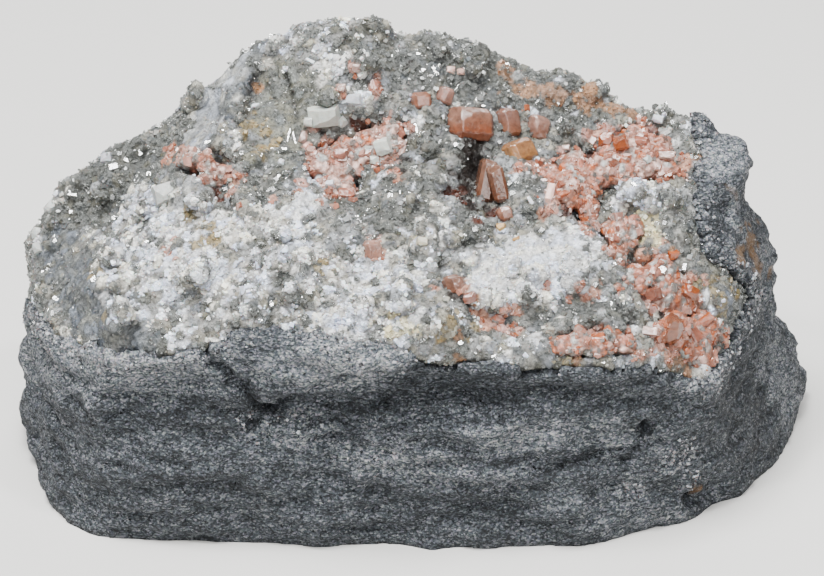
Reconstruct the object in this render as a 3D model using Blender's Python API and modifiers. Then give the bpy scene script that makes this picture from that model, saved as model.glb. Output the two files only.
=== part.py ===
"""A hand specimen of monazite: a broken block of grey schist whose upper face is an open cleft,
lined with a crust of small felspar and quartz crystals that carries orange monazite crystals.

The block is laid out as it is seen from in front and a little above. Sizes in the script are
millimetres: u to the right and w up across the picture, and depth y away from the front.
The finished objects are in metres, +Z up, standing on the flat underside."""

import math
import random

import bmesh
import bpy
from mathutils import Matrix, Vector, noise
from mathutils.bvhtree import BVHTree

# The line of sight that the layout is read along.
SIGHT_ELEVATION = math.radians(25)
SIGHT_DISTANCE = 350.0
SIGHT_TARGET = Vector((0.0, 16.0, 21.4))
FORWARD = Vector((0.0, math.cos(SIGHT_ELEVATION), -math.sin(SIGHT_ELEVATION)))
UP = Vector((0.0, math.sin(SIGHT_ELEVATION), math.cos(SIGHT_ELEVATION)))
RIGHT = Vector((1.0, 0.0, 0.0))
EYE = SIGHT_TARGET - SIGHT_DISTANCE * FORWARD

# The middle of the finished block, which becomes the origin.
MIDDLE = Vector((0.3, 22.5, 0.0))
METRES = 0.001  # in a millimetre

# Where the block meets the table: x and y of each corner of the underside.
UNDERSIDE = [
    (-32, 3.0), (-12, 2.6), (9, 0.9), (14, 0.6), (18, 2.8), (25, 5.0), (28.8, 6.8), (34.5, 13),
    (36.8, 18), (38.2, 26), (38.6, 33), (36, 39), (15, 43), (-15, 42), (-34, 37), (-38.4, 28),
    (-36.8, 14), (-34.6, 4.5),
]
UNDERSIDE_DROP = 2.0  # the block is made this much too tall and then cut flat at the table

# Lip of the front break, where the crust begins: u, w, depth.
LIP = [
    (-35.2, -4.2, 12), (-30.2, -5.7, 5), (-16.2, -4.7, 2.5), (2.8, -6.7, 2), (18.8, -7.4, 3.5),
    (29.3, -8.4, 8),
]
# Skyline of the block, left to right: u, w, depth.
SKYLINE = [
    (-39.0, 5.4, 28), (-35.2, 9.6, 29), (-28.2, 12.0, 30), (-17.0, 23.4, 32), (-9.7, 26.8, 33),
    (0.3, 25.8, 33), (6.3, 23.7, 33), (12.3, 18.2, 33), (20.8, 16.6, 32), (28.8, 15.6, 31),
    (33.8, 15.4, 29),
]
# Right-hand break and the outermost points of both sides: u, w, depth.
SIDES = [
    (32.6, 3.8, 20), (35.3, 4.3, 31), (38.6, -7.0, 35), (39.8, -10.2, 34), (38.0, -15.0, 26),
    (36.8, -17.8, 20), (-38.0, -8.0, 27), (-39.2, -13.6, 26), (-37.8, -17.6, 20),
    (-35.8, -20.6, 13),
]
# Back of the block: x, y, z.
BACK = [
    (-32, 37, 22), (-14, 41, 35), (4, 41, 34), (24, 40, 25), (34, 38, 19), (-34, 42, 8), (35, 42, 6),
    (0, 45, 10),
]

VOXEL = 1.0
ROCK_TRIANGLES = 2000
CORE_TRIANGLES = 240

# Relief on the side that faces the viewer: u, w, half sizes along u and w, turn in degrees,
# and height towards the viewer, which is negative in a hollow.
RELIEF = {
    "bowl": (-5.5, 13.2, 12.5, 7.0, -8, -3.6),
    "right_recess": (14.5, 15.0, 9.5, 4.6, -12, -2.0),
    "vug": (7.2, 10.6, 3.6, 5.4, 0, -6.0),
    "left_trough": (-30.5, 8.0, 10.5, 4.6, 33, -2.6),
    "brown_pocket": (-19.4, 10.2, 2.2, 2.6, 0, -2.2),
    "right_pocket": (25.5, -2.8, 3.0, 1.9, 0, -2.4),
    "spur": (-18.3, 17.0, 2.2, 8.5, -24, 3.4),
    "spur_gully": (-14.8, 20.4, 1.7, 6.0, -24, -2.2),
    "left_hump": (-18.0, 1.6, 15.0, 6.5, 4, 2.8),
    "middle_hump": (-1.0, -1.6, 10.0, 5.0, -8, 1.8),
    "right_hump": (14.5, 1.8, 10.5, 5.2, 8, 2.2),
    "peak_lump": (-9.4, 23.2, 6.5, 4.2, 0, 1.8),
    "knob": (31.0, 11.5, 3.4, 4.0, 0, 1.6),
    "overhang": (5.5, -10.6, 23.0, 3.4, 4, -2.8),
    "front_bulge": (-9.0, -6.8, 9.5, 4.0, 6, 1.8),
    "notch": (-15.4, -12.0, 4.0, 1.8, 30, -2.0),
    "front_swell": (-20.0, -18.5, 14.0, 5.0, 0, 0.9),
    "corner_step": (29.5, -20.6, 3.0, 2.6, 0, -2.6),
    "right_dish": (34.0, -11.5, 4.6, 7.5, 0, -1.0),
}
FULL_RELIEF_FACING = 0.5  # cosine to the line of sight from which the relief has its full height
# Dents in the outline: u, w and depth of the middle, radius, and how far they go in.
DENTS = [
    (-39.4, -1.8, 27, 5.0, 2.6), (-24.0, 16.0, 31, 5.0, 1.4), (35.0, 8.5, 29, 6.0, 2.4),
    (38.5, 0.0, 33, 7.0, 3.0), (-39.5, -8.5, 27, 5.0, 1.0), (0.0, 18.0, 46, 12.0, 2.2),
    (-22.0, 12.0, 44, 9.0, 1.8), (20.0, 6.0, 43, 9.0, 1.6),
]
ROUGHNESS = ((8.0, 1.3), (3.4, 1.0))  # wavelength and height of each layer of roughness
LEDGE_PITCH = 3.6  # spacing of the schist's ledges on broken faces
LEDGE_HEIGHT = 0.9
LEDGE_DIP = 0.10
LEDGE_WAVE = 2.4  # how far the foliation bends up and down, over waves of this many per mm
LEDGE_WAVES_PER_MM = 0.07
LEDGE_FADES_PER_MM = 0.11
LEDGE_FADE = (0.5, 1.2)  # usual strength of the ledges, and how much it comes and goes
LEDGE_FADE_SHIFT = Vector((5, 0, 0))  # so that the fading isn't in step with the bends
LEDGE_STEEPNESS = 1.6  # the ledges fade out on faces that lie flatter than this allows
SMOOTH_BREAK_X = 27.0  # right of this the schist broke along a smooth joint
SMOOTH_BREAK_FACING = 0.4  # and only faces that look to the right this much
SMOOTH_BREAK_SHARE = 0.35

# Outline of the crust as seen: u, w. Its top and left run past the skyline.
CRUST_OUTLINE = [
    (-35.0, -5.0), (-30.2, -6.4), (-25.2, -6.4), (-20.7, -6.2), (-17.7, -4.8), (-14.2, -4.0),
    (-8.2, -5.2), (-1.2, -6.4), (2.8, -7.3), (10.8, -7.8), (18.8, -7.9), (22.8, -7.3), (26.8, -8.6),
    (29.2, -9.0), (31.0, -5.7), (32.9, -1.2), (32.6, 0.6), (30.0, 2.6), (28.5, 5.3), (28.1, 8.8),
    (28.8, 12.8), (28.2, 16.0), (28.0, 26), (-6, 36), (-27, 25), (-41, 16), (-42, 4), (-38, -1),
]
OUTLINE_JOG = 0.35
OUTLINE_SEED = 11
CRUST_BACK = 34.8  # the crust ends at this depth, just behind the skyline
PRISM_NEAR = -30.0
# The crust lies on a copy of the block that is scaled about its heart and moved back, about 3 mm
# inside it. The schist's bed is the same again, a seam's width further in.
HEART = Vector((0, 24, 6))
CORE_INSET = (0.965, 2.0)
BED_INSET = (0.989, 0.12)
SEAM = 0.3  # gap between neighbouring pieces

# Crystals of the crust: felspar blocks on the humps and quartz prisms in the hollows.
CRUST_CRYSTALS = 66
CRYSTAL_AREA_U = (-38, 33)  # where they are looked for
CRYSTAL_AREA_W = (-9, 28)
CRYSTAL_SIZE = (0.9, 1.6)
BOX_SHARE = 1.45  # a felspar block's size and its length to width
BOX_LENGTH = (1.0, 1.5)
BOX_SIDES = (1.1, 0.85)
BOX_SLOPE = 0.45
PRISM_SHARE = 0.9  # a quartz prism's size, its length to width, and how much of it is shank
PRISM_LENGTH = (2.0, 3.0)
PRISM_SHANK = 0.6
HOLLOW = -0.4  # relief below which a place counts as a hollow
VUG_RADIUS = 3.0  # nothing but monazite grows this close to the middle of the vug
CRYSTAL_TILT = math.radians(26)
CRYSTAL_SINK = 0.42  # share of a crystal's length that is below the surface
CRYSTAL_ROOT = 1.0  # no crystal goes deeper than this into the crust
CRYSTAL_FACING = 0.6  # least cosine between the surface's normal and the line of sight
CRYSTAL_MARGIN = 1.6  # least distance from the crust's outline
CRUST_UNDER_CRYSTAL = 1.8  # least thickness of the crust where a crystal stands
CRUST_SEED = 7

COLOURS = {  # base colour and roughness
    "schist": ((0.20, 0.21, 0.225), 0.85),
    "druse": ((0.62, 0.62, 0.59), 0.45),
    "monazite": ((0.55, 0.22, 0.12), 0.30),
}

# Monazite: for each object its single crystals and then its ovals of crystals grown together.
# A crystal is u, w, length, width, thickness, turn about the sight line in degrees, and how far it
# stands out of the crust. An oval is u, w, half sizes along u and w, turn in degrees, and the
# number of crystals and their size.
MONAZITES = {
    "monazite_tabular": ([(5.8, 16.4, 4.4, 3.3, 2.6, 4, 1.3)], []),
    "monazite_rounded": ([(9.6, 16.6, 2.1, 2.9, 2.0, 12, 0.9)], []),
    "monazite_upright": ([(12.6, 16.0, 2.1, 2.5, 1.8, -10, 0.9)], []),
    "monazite_golden": ([(10.8, 13.6, 3.1, 2.6, 2.2, 28, 1.0)], []),
    "monazite_blades": ([(7.6, 10.4, 1.7, 4.2, 2.4, -14, 2.6), (9.0, 10.2, 1.6, 3.8, 2.2, 10, 2.4)], []),
    "monazite_bead": ([(9.3, 7.3, 1.5, 1.5, 1.4, 20, 1.0)], []),
    "monazite_top_left": ([(0.9, 18.7, 1.9, 1.8, 1.6, 8, 0.8)], []),
    "monazite_top_right": ([(3.3, 19.2, 1.4, 1.7, 1.4, -12, 0.8)], []),
    "monazite_block": ([(-4.0, 3.7, 1.9, 2.2, 1.6, 8, 0.7)], []),
    "monazite_brown": ([(4.2, 0.3, 2.0, 2.0, 1.7, 20, 0.8)], []),
    "monazite_upper_right": (
        [],
        [
            (17.4, 11.6, 5.0, 1.2, 3, 8, 2.1), (22.8, 13.3, 3.9, 2.1, -14, 8, 2.2),
            (16.8, 8.9, 2.3, 1.5, 30, 4, 2.0),
        ],
    ),
    "monazite_right_string": ([], [(20.7, 4.6, 1.2, 2.2, -15, 4, 1.8)]),
    "monazite_right_nest": ([], [(25.0, 0.0, 3.2, 1.8, -20, 7, 2.1)]),
    "monazite_lower_right": (
        [(26.1, -4.3, 2.2, 3.4, 2.3, -22, 1.4), (24.4, -4.5, 2.4, 2.0, 2.0, 12, 1.1)],
        [(28.4, -5.2, 1.5, 2.1, 10, 5, 2.1)],
    ),
    "monazite_lower_strip": ([], [(18.2, -5.5, 3.8, 0.8, 4, 6, 1.6)]),
    "monazite_left_patches": (
        [],
        [(-7.6, 11.6, 2.2, 2.7, -35, 7, 2.0), (-3.0, 14.2, 1.9, 2.2, 10, 5, 1.9)],
    ),
    "monazite_far_left": ([], [(-20.0, 11.6, 2.8, 1.2, -35, 5, 1.7)]),
}
SINGLE_CHAMFER = 0.2  # shares of a crystal's smaller side that its edges are cut back by
GROUP_CHAMFER = 0.32
TABLET_SLANT = (0.16, 0.10)  # how a tablet leans along its length and its width
TABLET_LEAN = 0.25  # most that a tablet tips out of its bed, in radians
VIEWER_SHARE = 1.2  # how much a tablet faces the viewer, against the surface's normal
GROUP_SPREAD = (0.85, 1.25)  # sizes in a group, as shares of its usual size
GROUP_SIDES = (1.25, 1.0, 0.95)
GROUP_TURN = 70
GROUP_STAND = (0.35, 0.9)
CLEAR_OF_CRYSTAL = 0.6  # how far the crust's own crystals keep from monazite
CLEAR_OF_GROUP = 1.0
GROWTH_SHARE = 1.5  # pockets grow outwards from a crystal's middle by this share of the seam
SPECK = 0.02  # size of the cube that a union of one object's own forms is made with
MONAZITE_SEED = 23


def seen(u, w, depth):
    """The point at picture place (u, w), at the given depth."""
    ray = SIGHT_DISTANCE * FORWARD + u * RIGHT + w * UP
    return EYE + ray * ((depth - EYE.y) / ray.y)


def picture(point):
    """Where a point is seen, as (u, w)."""
    ray = point - EYE
    scale = SIGHT_DISTANCE / ray.dot(FORWARD)
    return ray.dot(RIGHT) * scale, ray.dot(UP) * scale


def surface_tree(obj):
    places = [vert.co for vert in obj.data.vertices]
    return BVHTree.FromPolygons(places, [face.vertices for face in obj.data.polygons])


def sight_hit(tree, u, w):
    """The point and normal where the line of sight through (u, w) meets a surface."""
    ray = (SIGHT_DISTANCE * FORWARD + u * RIGHT + w * UP).normalized()
    point, normal, _, _ = tree.ray_cast(EYE, ray)
    return point, normal


def new_object(name, mesh, collection):
    obj = bpy.data.objects.new(name, mesh)
    collection.objects.link(obj)
    return obj


def mesh_of(bm, name):
    mesh = bpy.data.meshes.new(name)
    bm.to_mesh(mesh)
    bm.free()
    return mesh


def bake(obj):
    """Puts the object's modifiers into its mesh."""
    bpy.context.view_layer.update()
    evaluated = obj.evaluated_get(bpy.context.evaluated_depsgraph_get())
    mesh = bpy.data.meshes.new_from_object(evaluated)
    obj.modifiers.clear()
    obj.data = mesh


def boolean(obj, other, operation, own_overlaps=False):
    cut = obj.modifiers.new(operation.title(), "BOOLEAN")
    cut.operation = operation
    cut.object = other
    cut.solver = "EXACT"
    cut.use_self = own_overlaps
    bake(obj)


def remesh(obj):
    """Rebuilds an object's skin as even squares."""
    voxels = obj.modifiers.new("Voxels", "REMESH")
    voxels.mode = "VOXEL"
    voxels.voxel_size = VOXEL
    bake(obj)


def keep_largest_body(obj):
    """Deletes the chips that a cut leaves beside the main body."""
    bm = bmesh.new()
    bm.from_mesh(obj.data)
    bodies, unseen = [], set(bm.verts)
    while unseen:
        body, edge_of_body = set(), [unseen.pop()]
        while edge_of_body:
            vert = edge_of_body.pop()
            body.add(vert)
            for edge in vert.link_edges:
                other = edge.other_vert(vert)
                if other in unseen:
                    unseen.remove(other)
                    edge_of_body.append(other)
        bodies.append(body)
    bodies.sort(key=len)
    for body in bodies[:-1]:
        bmesh.ops.delete(bm, geom=list(body), context="VERTS")
    bm.to_mesh(obj.data)
    bm.free()


def decimate(obj, triangles):
    triangle_count = sum(len(face.vertices) - 2 for face in obj.data.polygons)
    thin = obj.modifiers.new("Thin", "DECIMATE")
    thin.ratio = min(1.0, triangles / triangle_count)
    thin.use_collapse_triangulate = True
    bake(obj)


def cut_flat_underside(obj):
    bm = bmesh.new()
    bm.from_mesh(obj.data)
    whole = bm.verts[:] + bm.edges[:] + bm.faces[:]
    bmesh.ops.bisect_plane(bm, geom=whole, plane_co=(0, 0, 0), plane_no=(0, 0, -1), clear_outer=True)
    rim = [edge for edge in bm.edges if edge.is_boundary]
    bmesh.ops.edgeloop_fill(bm, edges=rim)
    bmesh.ops.triangulate(bm, faces=[face for face in bm.faces if len(face.verts) > 4])
    bmesh.ops.recalc_face_normals(bm, faces=bm.faces[:])
    bm.to_mesh(obj.data)
    bm.free()


def bell(distance_squared):
    """Smooth fall from 1 at the middle to 0 at distance 1."""
    return (1 - distance_squared) ** 2 if distance_squared < 1 else 0.0


def relief_height(u, w):
    """Height of the relief towards the viewer at a place in the picture."""
    height = 0.0
    for centre_u, centre_w, half_u, half_w, turn, rise in RELIEF.values():
        angle = math.radians(turn)
        du, dw = u - centre_u, w - centre_w
        along = (du * math.cos(angle) + dw * math.sin(angle)) / half_u
        across = (dw * math.cos(angle) - du * math.sin(angle)) / half_w
        height += rise * bell(along * along + across * across)
    return height


def ledge_height(point):
    """Saw-tooth steps along the foliation, which dips gently to the left and fades in and out."""
    level = point.z - LEDGE_DIP * point.x + LEDGE_WAVE * noise.noise(point * LEDGE_WAVES_PER_MM)
    step = (level / LEDGE_PITCH) % 1.0
    usual, change = LEDGE_FADE
    strength = max(0.0, usual + change * noise.noise(point * LEDGE_FADES_PER_MM + LEDGE_FADE_SHIFT))
    return LEDGE_HEIGHT * strength * (step - 0.5)


def sculpt(obj):
    """Gives the block its hollows, humps, ledges and roughness."""
    for vert in obj.data.vertices:
        point, normal = vert.co.copy(), vert.normal.copy()
        facing = max(0.0, min(1.0, -normal.dot(FORWARD) / FULL_RELIEF_FACING))
        move = -FORWARD * relief_height(*picture(point)) * facing
        inside = Vector((MIDDLE.x - point.x, MIDDLE.y - point.y, 0)).normalized()
        for u, w, depth, radius, inwards in DENTS:
            away = (point - seen(u, w, depth)).length / radius
            move += inside * inwards * bell(away * away)
        on_smooth_break = point.x > SMOOTH_BREAK_X and normal.x > SMOOTH_BREAK_FACING
        rough = SMOOTH_BREAK_SHARE if on_smooth_break else 1.0
        for wavelength, height in ROUGHNESS:
            move += normal * rough * height * noise.noise(point / wavelength)
        steep = max(0.0, 1.0 - LEDGE_STEEPNESS * abs(normal.z))
        move += normal * rough * ledge_height(point) * steep
        vert.co = point + move


def hull_of(points):
    """The convex hull of some points, as a closed mesh."""
    bm = bmesh.new()
    for point in points:
        bm.verts.new(point)
    hull = bmesh.ops.convex_hull(bm, input=bm.verts[:])
    loose = {e for e in hull["geom_interior"] + hull["geom_unused"] if isinstance(e, bmesh.types.BMVert)}
    bmesh.ops.delete(bm, geom=list(loose), context="VERTS")
    bmesh.ops.recalc_face_normals(bm, faces=bm.faces[:])
    return bm


def make_block(collection):
    """The whole block as one solid, crust included, before it is parted."""
    points = [Vector((x, y, -UNDERSIDE_DROP)) for x, y in UNDERSIDE]
    points += [seen(*place) for place in LIP + SKYLINE + SIDES]
    points += [Vector(place) for place in BACK]
    block = new_object("block", mesh_of(hull_of(points), "block"), collection)
    remesh(block)
    sculpt(block)
    remesh(block)
    return block


def rough_outline():
    """The crust's outline with one more corner on every side, a little off the line."""
    rng = random.Random(OUTLINE_SEED)
    corners = [Vector(place) for place in CRUST_OUTLINE]
    rough = []
    for here, after in zip(corners, corners[1:] + corners[:1]):
        jog = Vector((rng.uniform(-1, 1), rng.uniform(-1, 1))) * OUTLINE_JOG
        rough += [here, here.lerp(after, 0.5) + jog]
    return rough


def crust_prism(name, grow, collection):
    """The outline of the crust as a prism along the line of sight, grown sideways."""
    corners = rough_outline()
    bm = bmesh.new()
    ring = []
    for before, here, after in zip(corners[-1:] + corners[:-1], corners, corners[1:] + corners[:1]):
        along = (here - before).normalized() + (after - here).normalized()
        place = here + Vector((along.y, -along.x)).normalized() * grow
        ring.append(bm.verts.new(seen(place.x, place.y, PRISM_NEAR)))
    face = bm.faces.new(ring)
    far = bmesh.ops.extrude_face_region(bm, geom=[face])["geom"]
    for vert in (e for e in far if isinstance(e, bmesh.types.BMVert)):
        vert.co = seen(*picture(vert.co), CRUST_BACK + grow)
    bmesh.ops.recalc_face_normals(bm, faces=bm.faces[:])
    return new_object(name, mesh_of(bm, name), collection)


def copy_of(obj, name, collection, share=1.0, back=0.0):
    """A copy, scaled about the heart of the block and moved away from the viewer."""
    mesh = obj.data.copy()
    scaled = Matrix.Translation(HEART) @ Matrix.Scale(share, 4) @ Matrix.Translation(-HEART)
    mesh.transform(Matrix.Translation(FORWARD * back) @ scaled)
    return new_object(name, mesh, collection)


def add_box_crystal(bm, size, length):
    """A felspar block: a box whose top slopes and whose corners are cut."""
    made = bmesh.ops.create_cube(bm, size=1.0)["verts"]
    bmesh.ops.scale(bm, vec=(BOX_SIDES[0] * size, BOX_SIDES[1] * size, length), verts=made)
    bmesh.ops.translate(bm, vec=(0, 0, length / 2), verts=made)
    for vert in made:
        if vert.co.z > length / 2:
            vert.co.z -= BOX_SLOPE * vert.co.x
    return made


def add_prism_crystal(bm, size, length):
    """A quartz prism: six sides and a pointed top."""
    shank = PRISM_SHANK * length
    made = bmesh.ops.create_cone(
        bm, cap_ends=True, segments=6, radius1=size / 2, radius2=size / 2, depth=shank
    )["verts"]
    bmesh.ops.translate(bm, vec=(0, 0, shank / 2), verts=made)
    rim = {vert for vert in made if vert.co.z > shank / 2}
    top = [face for face in bm.faces if rim.issuperset(face.verts)]
    tip = bmesh.ops.poke(bm, faces=top)["verts"]
    bmesh.ops.translate(bm, vec=(0, 0, length - shank), verts=tip)
    return made + tip


def stand_on(bm, verts, point, normal, spin, tilt, lean):
    """Turns a crystal made along +Z to stand on a surface."""
    upright = normal.to_track_quat("Z", "Y").to_matrix().to_4x4()
    tipped = upright @ Matrix.Rotation(lean, 4, "Z") @ Matrix.Rotation(tilt, 4, "X")
    turned = tipped @ Matrix.Rotation(spin, 4, "Z")
    bmesh.ops.transform(bm, matrix=Matrix.Translation(point) @ turned, verts=verts)


def inside_outline(u, w, margin=0.0):
    """Whether a place is inside the crust's outline, by the crossing rule."""
    inside = False
    corners = [Vector(place) for place in CRUST_OUTLINE]
    for a, b in zip(corners, corners[1:] + corners[:1]):
        if (a.y > w) != (b.y > w) and u < a.x + (w - a.y) * (b.x - a.x) / (b.y - a.y):
            inside = not inside
        side = b - a
        share = max(0.0, min(1.0, (Vector((u, w)) - a).dot(side) / side.length_squared))
        if (a + side * share - Vector((u, w))).length < margin:
            return False
    return inside


def near_monazite(u, w):
    """Whether a place belongs to one of the monazite crystals or groups."""
    for crystals, ovals in MONAZITES.values():
        for at_u, at_w, length, width, *_ in crystals:
            if math.hypot(u - at_u, w - at_w) < 0.5 * max(length, width) + CLEAR_OF_CRYSTAL:
                return True
        for at_u, at_w, half_u, half_w, turn, _, _ in ovals:
            away = Vector((u - at_u, w - at_w))
            away.rotate(Matrix.Rotation(math.radians(-turn), 2))
            if math.hypot(away.x / (half_u + CLEAR_OF_GROUP), away.y / (half_w + CLEAR_OF_GROUP)) < 1:
                return True
    return False


def crust_crystals(tree, core_tree, collection):
    """The crust's larger crystals, as one object of overlapping forms."""
    rng = random.Random(CRUST_SEED)
    bm = bmesh.new()
    vug_u, vug_w = RELIEF["vug"][:2]
    made = 0
    while made < CRUST_CRYSTALS:
        u, w = rng.uniform(*CRYSTAL_AREA_U), rng.uniform(*CRYSTAL_AREA_W)
        size = rng.uniform(*CRYSTAL_SIZE)
        point, normal = sight_hit(tree, u, w)
        spin, tilt = rng.uniform(0, math.tau), rng.uniform(0, CRYSTAL_TILT)
        lean = rng.uniform(0, math.tau)
        in_vug = math.hypot(u - vug_u, w - vug_w) < VUG_RADIUS
        if point is None or in_vug or not inside_outline(u, w, CRYSTAL_MARGIN):
            continue
        thin = core_tree.find_nearest(point)[3] < CRUST_UNDER_CRYSTAL
        if -normal.dot(FORWARD) < CRYSTAL_FACING or thin or near_monazite(u, w):
            continue
        if relief_height(u, w) < HOLLOW:
            size *= PRISM_SHARE
            length = size * rng.uniform(*PRISM_LENGTH)
            verts = add_prism_crystal(bm, size, length)
        else:
            size *= BOX_SHARE
            length = size * rng.uniform(*BOX_LENGTH)
            verts = add_box_crystal(bm, size, length)
        foot = point - normal * min(CRYSTAL_ROOT, length * CRYSTAL_SINK)
        stand_on(bm, verts, foot, normal, spin, tilt, lean)
        made += 1
    return new_object("crust_crystals", mesh_of(bm, "crust_crystals"), collection)


def add_monazite(bm, length, width, thickness, grouped):
    """A monazite crystal: a thick slanted tablet with its edges bevelled."""
    made = bmesh.ops.create_cube(bm, size=1.0)["verts"]
    bmesh.ops.scale(bm, vec=(length, width, thickness), verts=made)
    # Edges and corners are kept in order, so that every build numbers them alike.
    edges = list(dict.fromkeys(edge for vert in made for edge in vert.link_edges))
    chamfer = SINGLE_CHAMFER * min(length, width)
    if grouped:
        # In a group only the two short edges of the outer face are cut off.
        edges = [edge for edge in edges if all(vert.co.z > 0 for vert in edge.verts)]
        edges = [edge for edge in edges if edge.verts[0].co.x == edge.verts[1].co.x]
        chamfer = GROUP_CHAMFER * min(length, thickness)
    bevelled = bmesh.ops.bevel(
        bm, geom=edges, offset=chamfer, affect="EDGES", segments=1, profile=0.5,
        clamp_overlap=True, material=-1,
    )["verts"]
    made = list(dict.fromkeys([vert for vert in made if vert.is_valid] + bevelled))
    for vert in made:
        vert.co.x += TABLET_SLANT[0] * vert.co.z
        vert.co.y -= TABLET_SLANT[1] * vert.co.x
    return made


def place_monazite(bm, tree, crystal, rng, grouped, grow=0.0):
    u, w, length, width, thickness, turn, stand = crystal
    point, normal = sight_hit(tree, u, w)
    facing = (normal - FORWARD * VIEWER_SHARE).normalized()
    centre = point + facing * (stand - thickness / 2)
    verts = add_monazite(bm, length, width, thickness, grouped)
    for vert in verts:
        vert.co += vert.co.normalized() * grow * GROWTH_SHARE
    across = facing.cross(RIGHT).normalized()
    frame = Matrix((across.cross(facing), across, facing)).transposed().to_4x4()
    lean = Matrix.Rotation(rng.uniform(-TABLET_LEAN, TABLET_LEAN), 4, "X")
    lean = lean @ Matrix.Rotation(rng.uniform(-TABLET_LEAN, TABLET_LEAN), 4, "Y")
    turned = frame @ Matrix.Rotation(math.radians(turn), 4, "Z") @ lean
    bmesh.ops.transform(bm, matrix=Matrix.Translation(centre) @ turned, verts=verts)


def oval_crystals(oval, rng):
    """Crystals spread over an oval, spaced closely enough to touch."""
    u, w, half_u, half_w, turn, count, size = oval
    angle = math.radians(turn)
    crystals = []
    for number in range(count):
        # A sunflower spiral spreads them evenly over the group's oval.
        reach = math.sqrt((number + 0.5) / count)
        around = number * math.pi * (3 - math.sqrt(5))
        along, across = half_u * reach * math.cos(around), half_w * reach * math.sin(around)
        place_u = u + along * math.cos(angle) - across * math.sin(angle)
        place_w = w + along * math.sin(angle) + across * math.cos(angle)
        own = size * rng.uniform(*GROUP_SPREAD)
        length, width, thickness = (own * share for share in GROUP_SIDES)
        crystal_turn, stand = rng.uniform(-GROUP_TURN, GROUP_TURN), rng.uniform(*GROUP_STAND)
        crystals.append((place_u, place_w, length, width, thickness, crystal_turn, stand))
    return crystals


def pocket_around(name, tree, crystals, grouped, collection):
    """A simple hull a little larger than some crystals, to cut their pocket with."""
    rng = random.Random(MONAZITE_SEED)
    bm = bmesh.new()
    for crystal in crystals:
        place_monazite(bm, tree, crystal, rng, grouped, SEAM)
    hull = hull_of([vert.co.copy() for vert in bm.verts])
    bm.free()
    return new_object(name, mesh_of(hull, name), collection)


def make_monazites(tree, parts, cutters):
    """The monazite objects and the hulls that cut their pockets."""
    spread = random.Random(MONAZITE_SEED)
    pockets = []
    for name, (crystals, ovals) in MONAZITES.items():
        clumps = [[crystal] for crystal in crystals] + [oval_crystals(oval, spread) for oval in ovals]
        bm = bmesh.new()
        for number, clump in enumerate(clumps):
            rng = random.Random(MONAZITE_SEED)
            grouped = number >= len(crystals)
            for crystal in clump:
                place_monazite(bm, tree, crystal, rng, grouped)
            pockets.append(pocket_around(f"{name}_pocket_{number}", tree, clump, grouped, cutters))
        obj = new_object(name, mesh_of(bm, name), parts)
        if sum(map(len, clumps)) > 1:
            fuse_own_overlaps(obj, cutters)
    return pockets


def fuse_own_overlaps(obj, cutters):
    """Joins an object's overlapping forms into one body, by a union with a speck inside it."""
    corner, far_corner = obj.data.vertices[0].co, obj.data.vertices[6].co
    bm = bmesh.new()
    bmesh.ops.create_cube(bm, size=SPECK, matrix=Matrix.Translation(corner.lerp(far_corner, 0.5)))
    speck = new_object("speck", mesh_of(bm, "speck"), cutters)
    boolean(obj, speck, "UNION", own_overlaps=True)
    bpy.data.objects.remove(speck)
    keep_largest_body(obj)


def material(name):
    colour, roughness = COLOURS[name]
    made = bpy.data.materials.new(name)
    made.use_nodes = True
    shader = made.node_tree.nodes["Principled BSDF"]
    shader.inputs["Base Color"].default_value = (*colour, 1)
    shader.inputs["Roughness"].default_value = roughness
    shader.inputs["Metallic"].default_value = 0.0
    made.diffuse_color = (*colour, 1)
    return made


def collection_named(name):
    made = bpy.data.collections.new(name)
    bpy.context.scene.collection.children.link(made)
    return made


def main():
    for obj in list(bpy.data.objects):
        bpy.data.objects.remove(obj)
    parts, cutters = collection_named("monazite_specimen"), collection_named("cutters")

    block = make_block(cutters)
    core = copy_of(block, "core", cutters, *CORE_INSET)
    decimate(core, CORE_TRIANGLES)
    bed = copy_of(core, "bed", cutters, *BED_INSET)
    decimate(block, ROCK_TRIANGLES)
    cut_flat_underside(block)
    tree, core_tree = surface_tree(block), surface_tree(core)

    prism = crust_prism("crust_prism", 0.0, cutters)
    druse = copy_of(block, "crystal_crust", parts)
    boolean(druse, prism, "INTERSECT")
    boolean(druse, core, "DIFFERENCE")
    keep_largest_body(druse)

    gap_prism = crust_prism("gap_prism", SEAM, cutters)
    boolean(gap_prism, bed, "DIFFERENCE")
    matrix = copy_of(block, "schist_matrix", parts)
    boolean(matrix, gap_prism, "DIFFERENCE")
    keep_largest_body(matrix)

    crystals = crust_crystals(tree, core_tree, cutters)
    boolean(druse, crystals, "UNION", own_overlaps=True)

    for pocket in make_monazites(tree, parts, cutters):
        boolean(druse, pocket, "DIFFERENCE")
        boolean(matrix, pocket, "DIFFERENCE")
    keep_largest_body(druse)
    keep_largest_body(matrix)

    for obj in list(cutters.objects):
        obj.hide_render = True
        obj.display_type = "WIRE"
    to_metres = Matrix.Scale(METRES, 4) @ Matrix.Translation(-MIDDLE)
    finishes = {"schist_matrix": "schist", "crystal_crust": "druse"}
    materials = {name: material(name) for name in COLOURS}
    for obj in parts.objects:
        obj.data.transform(to_metres)
        obj.data.materials.clear()
        obj.data.materials.append(materials[finishes.get(obj.name, "monazite")])


main()
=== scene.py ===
import math
import random

import bmesh
import bpy
import numpy as np
from mathutils import Matrix, Vector, noise
from mathutils.bvhtree import BVHTree


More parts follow.
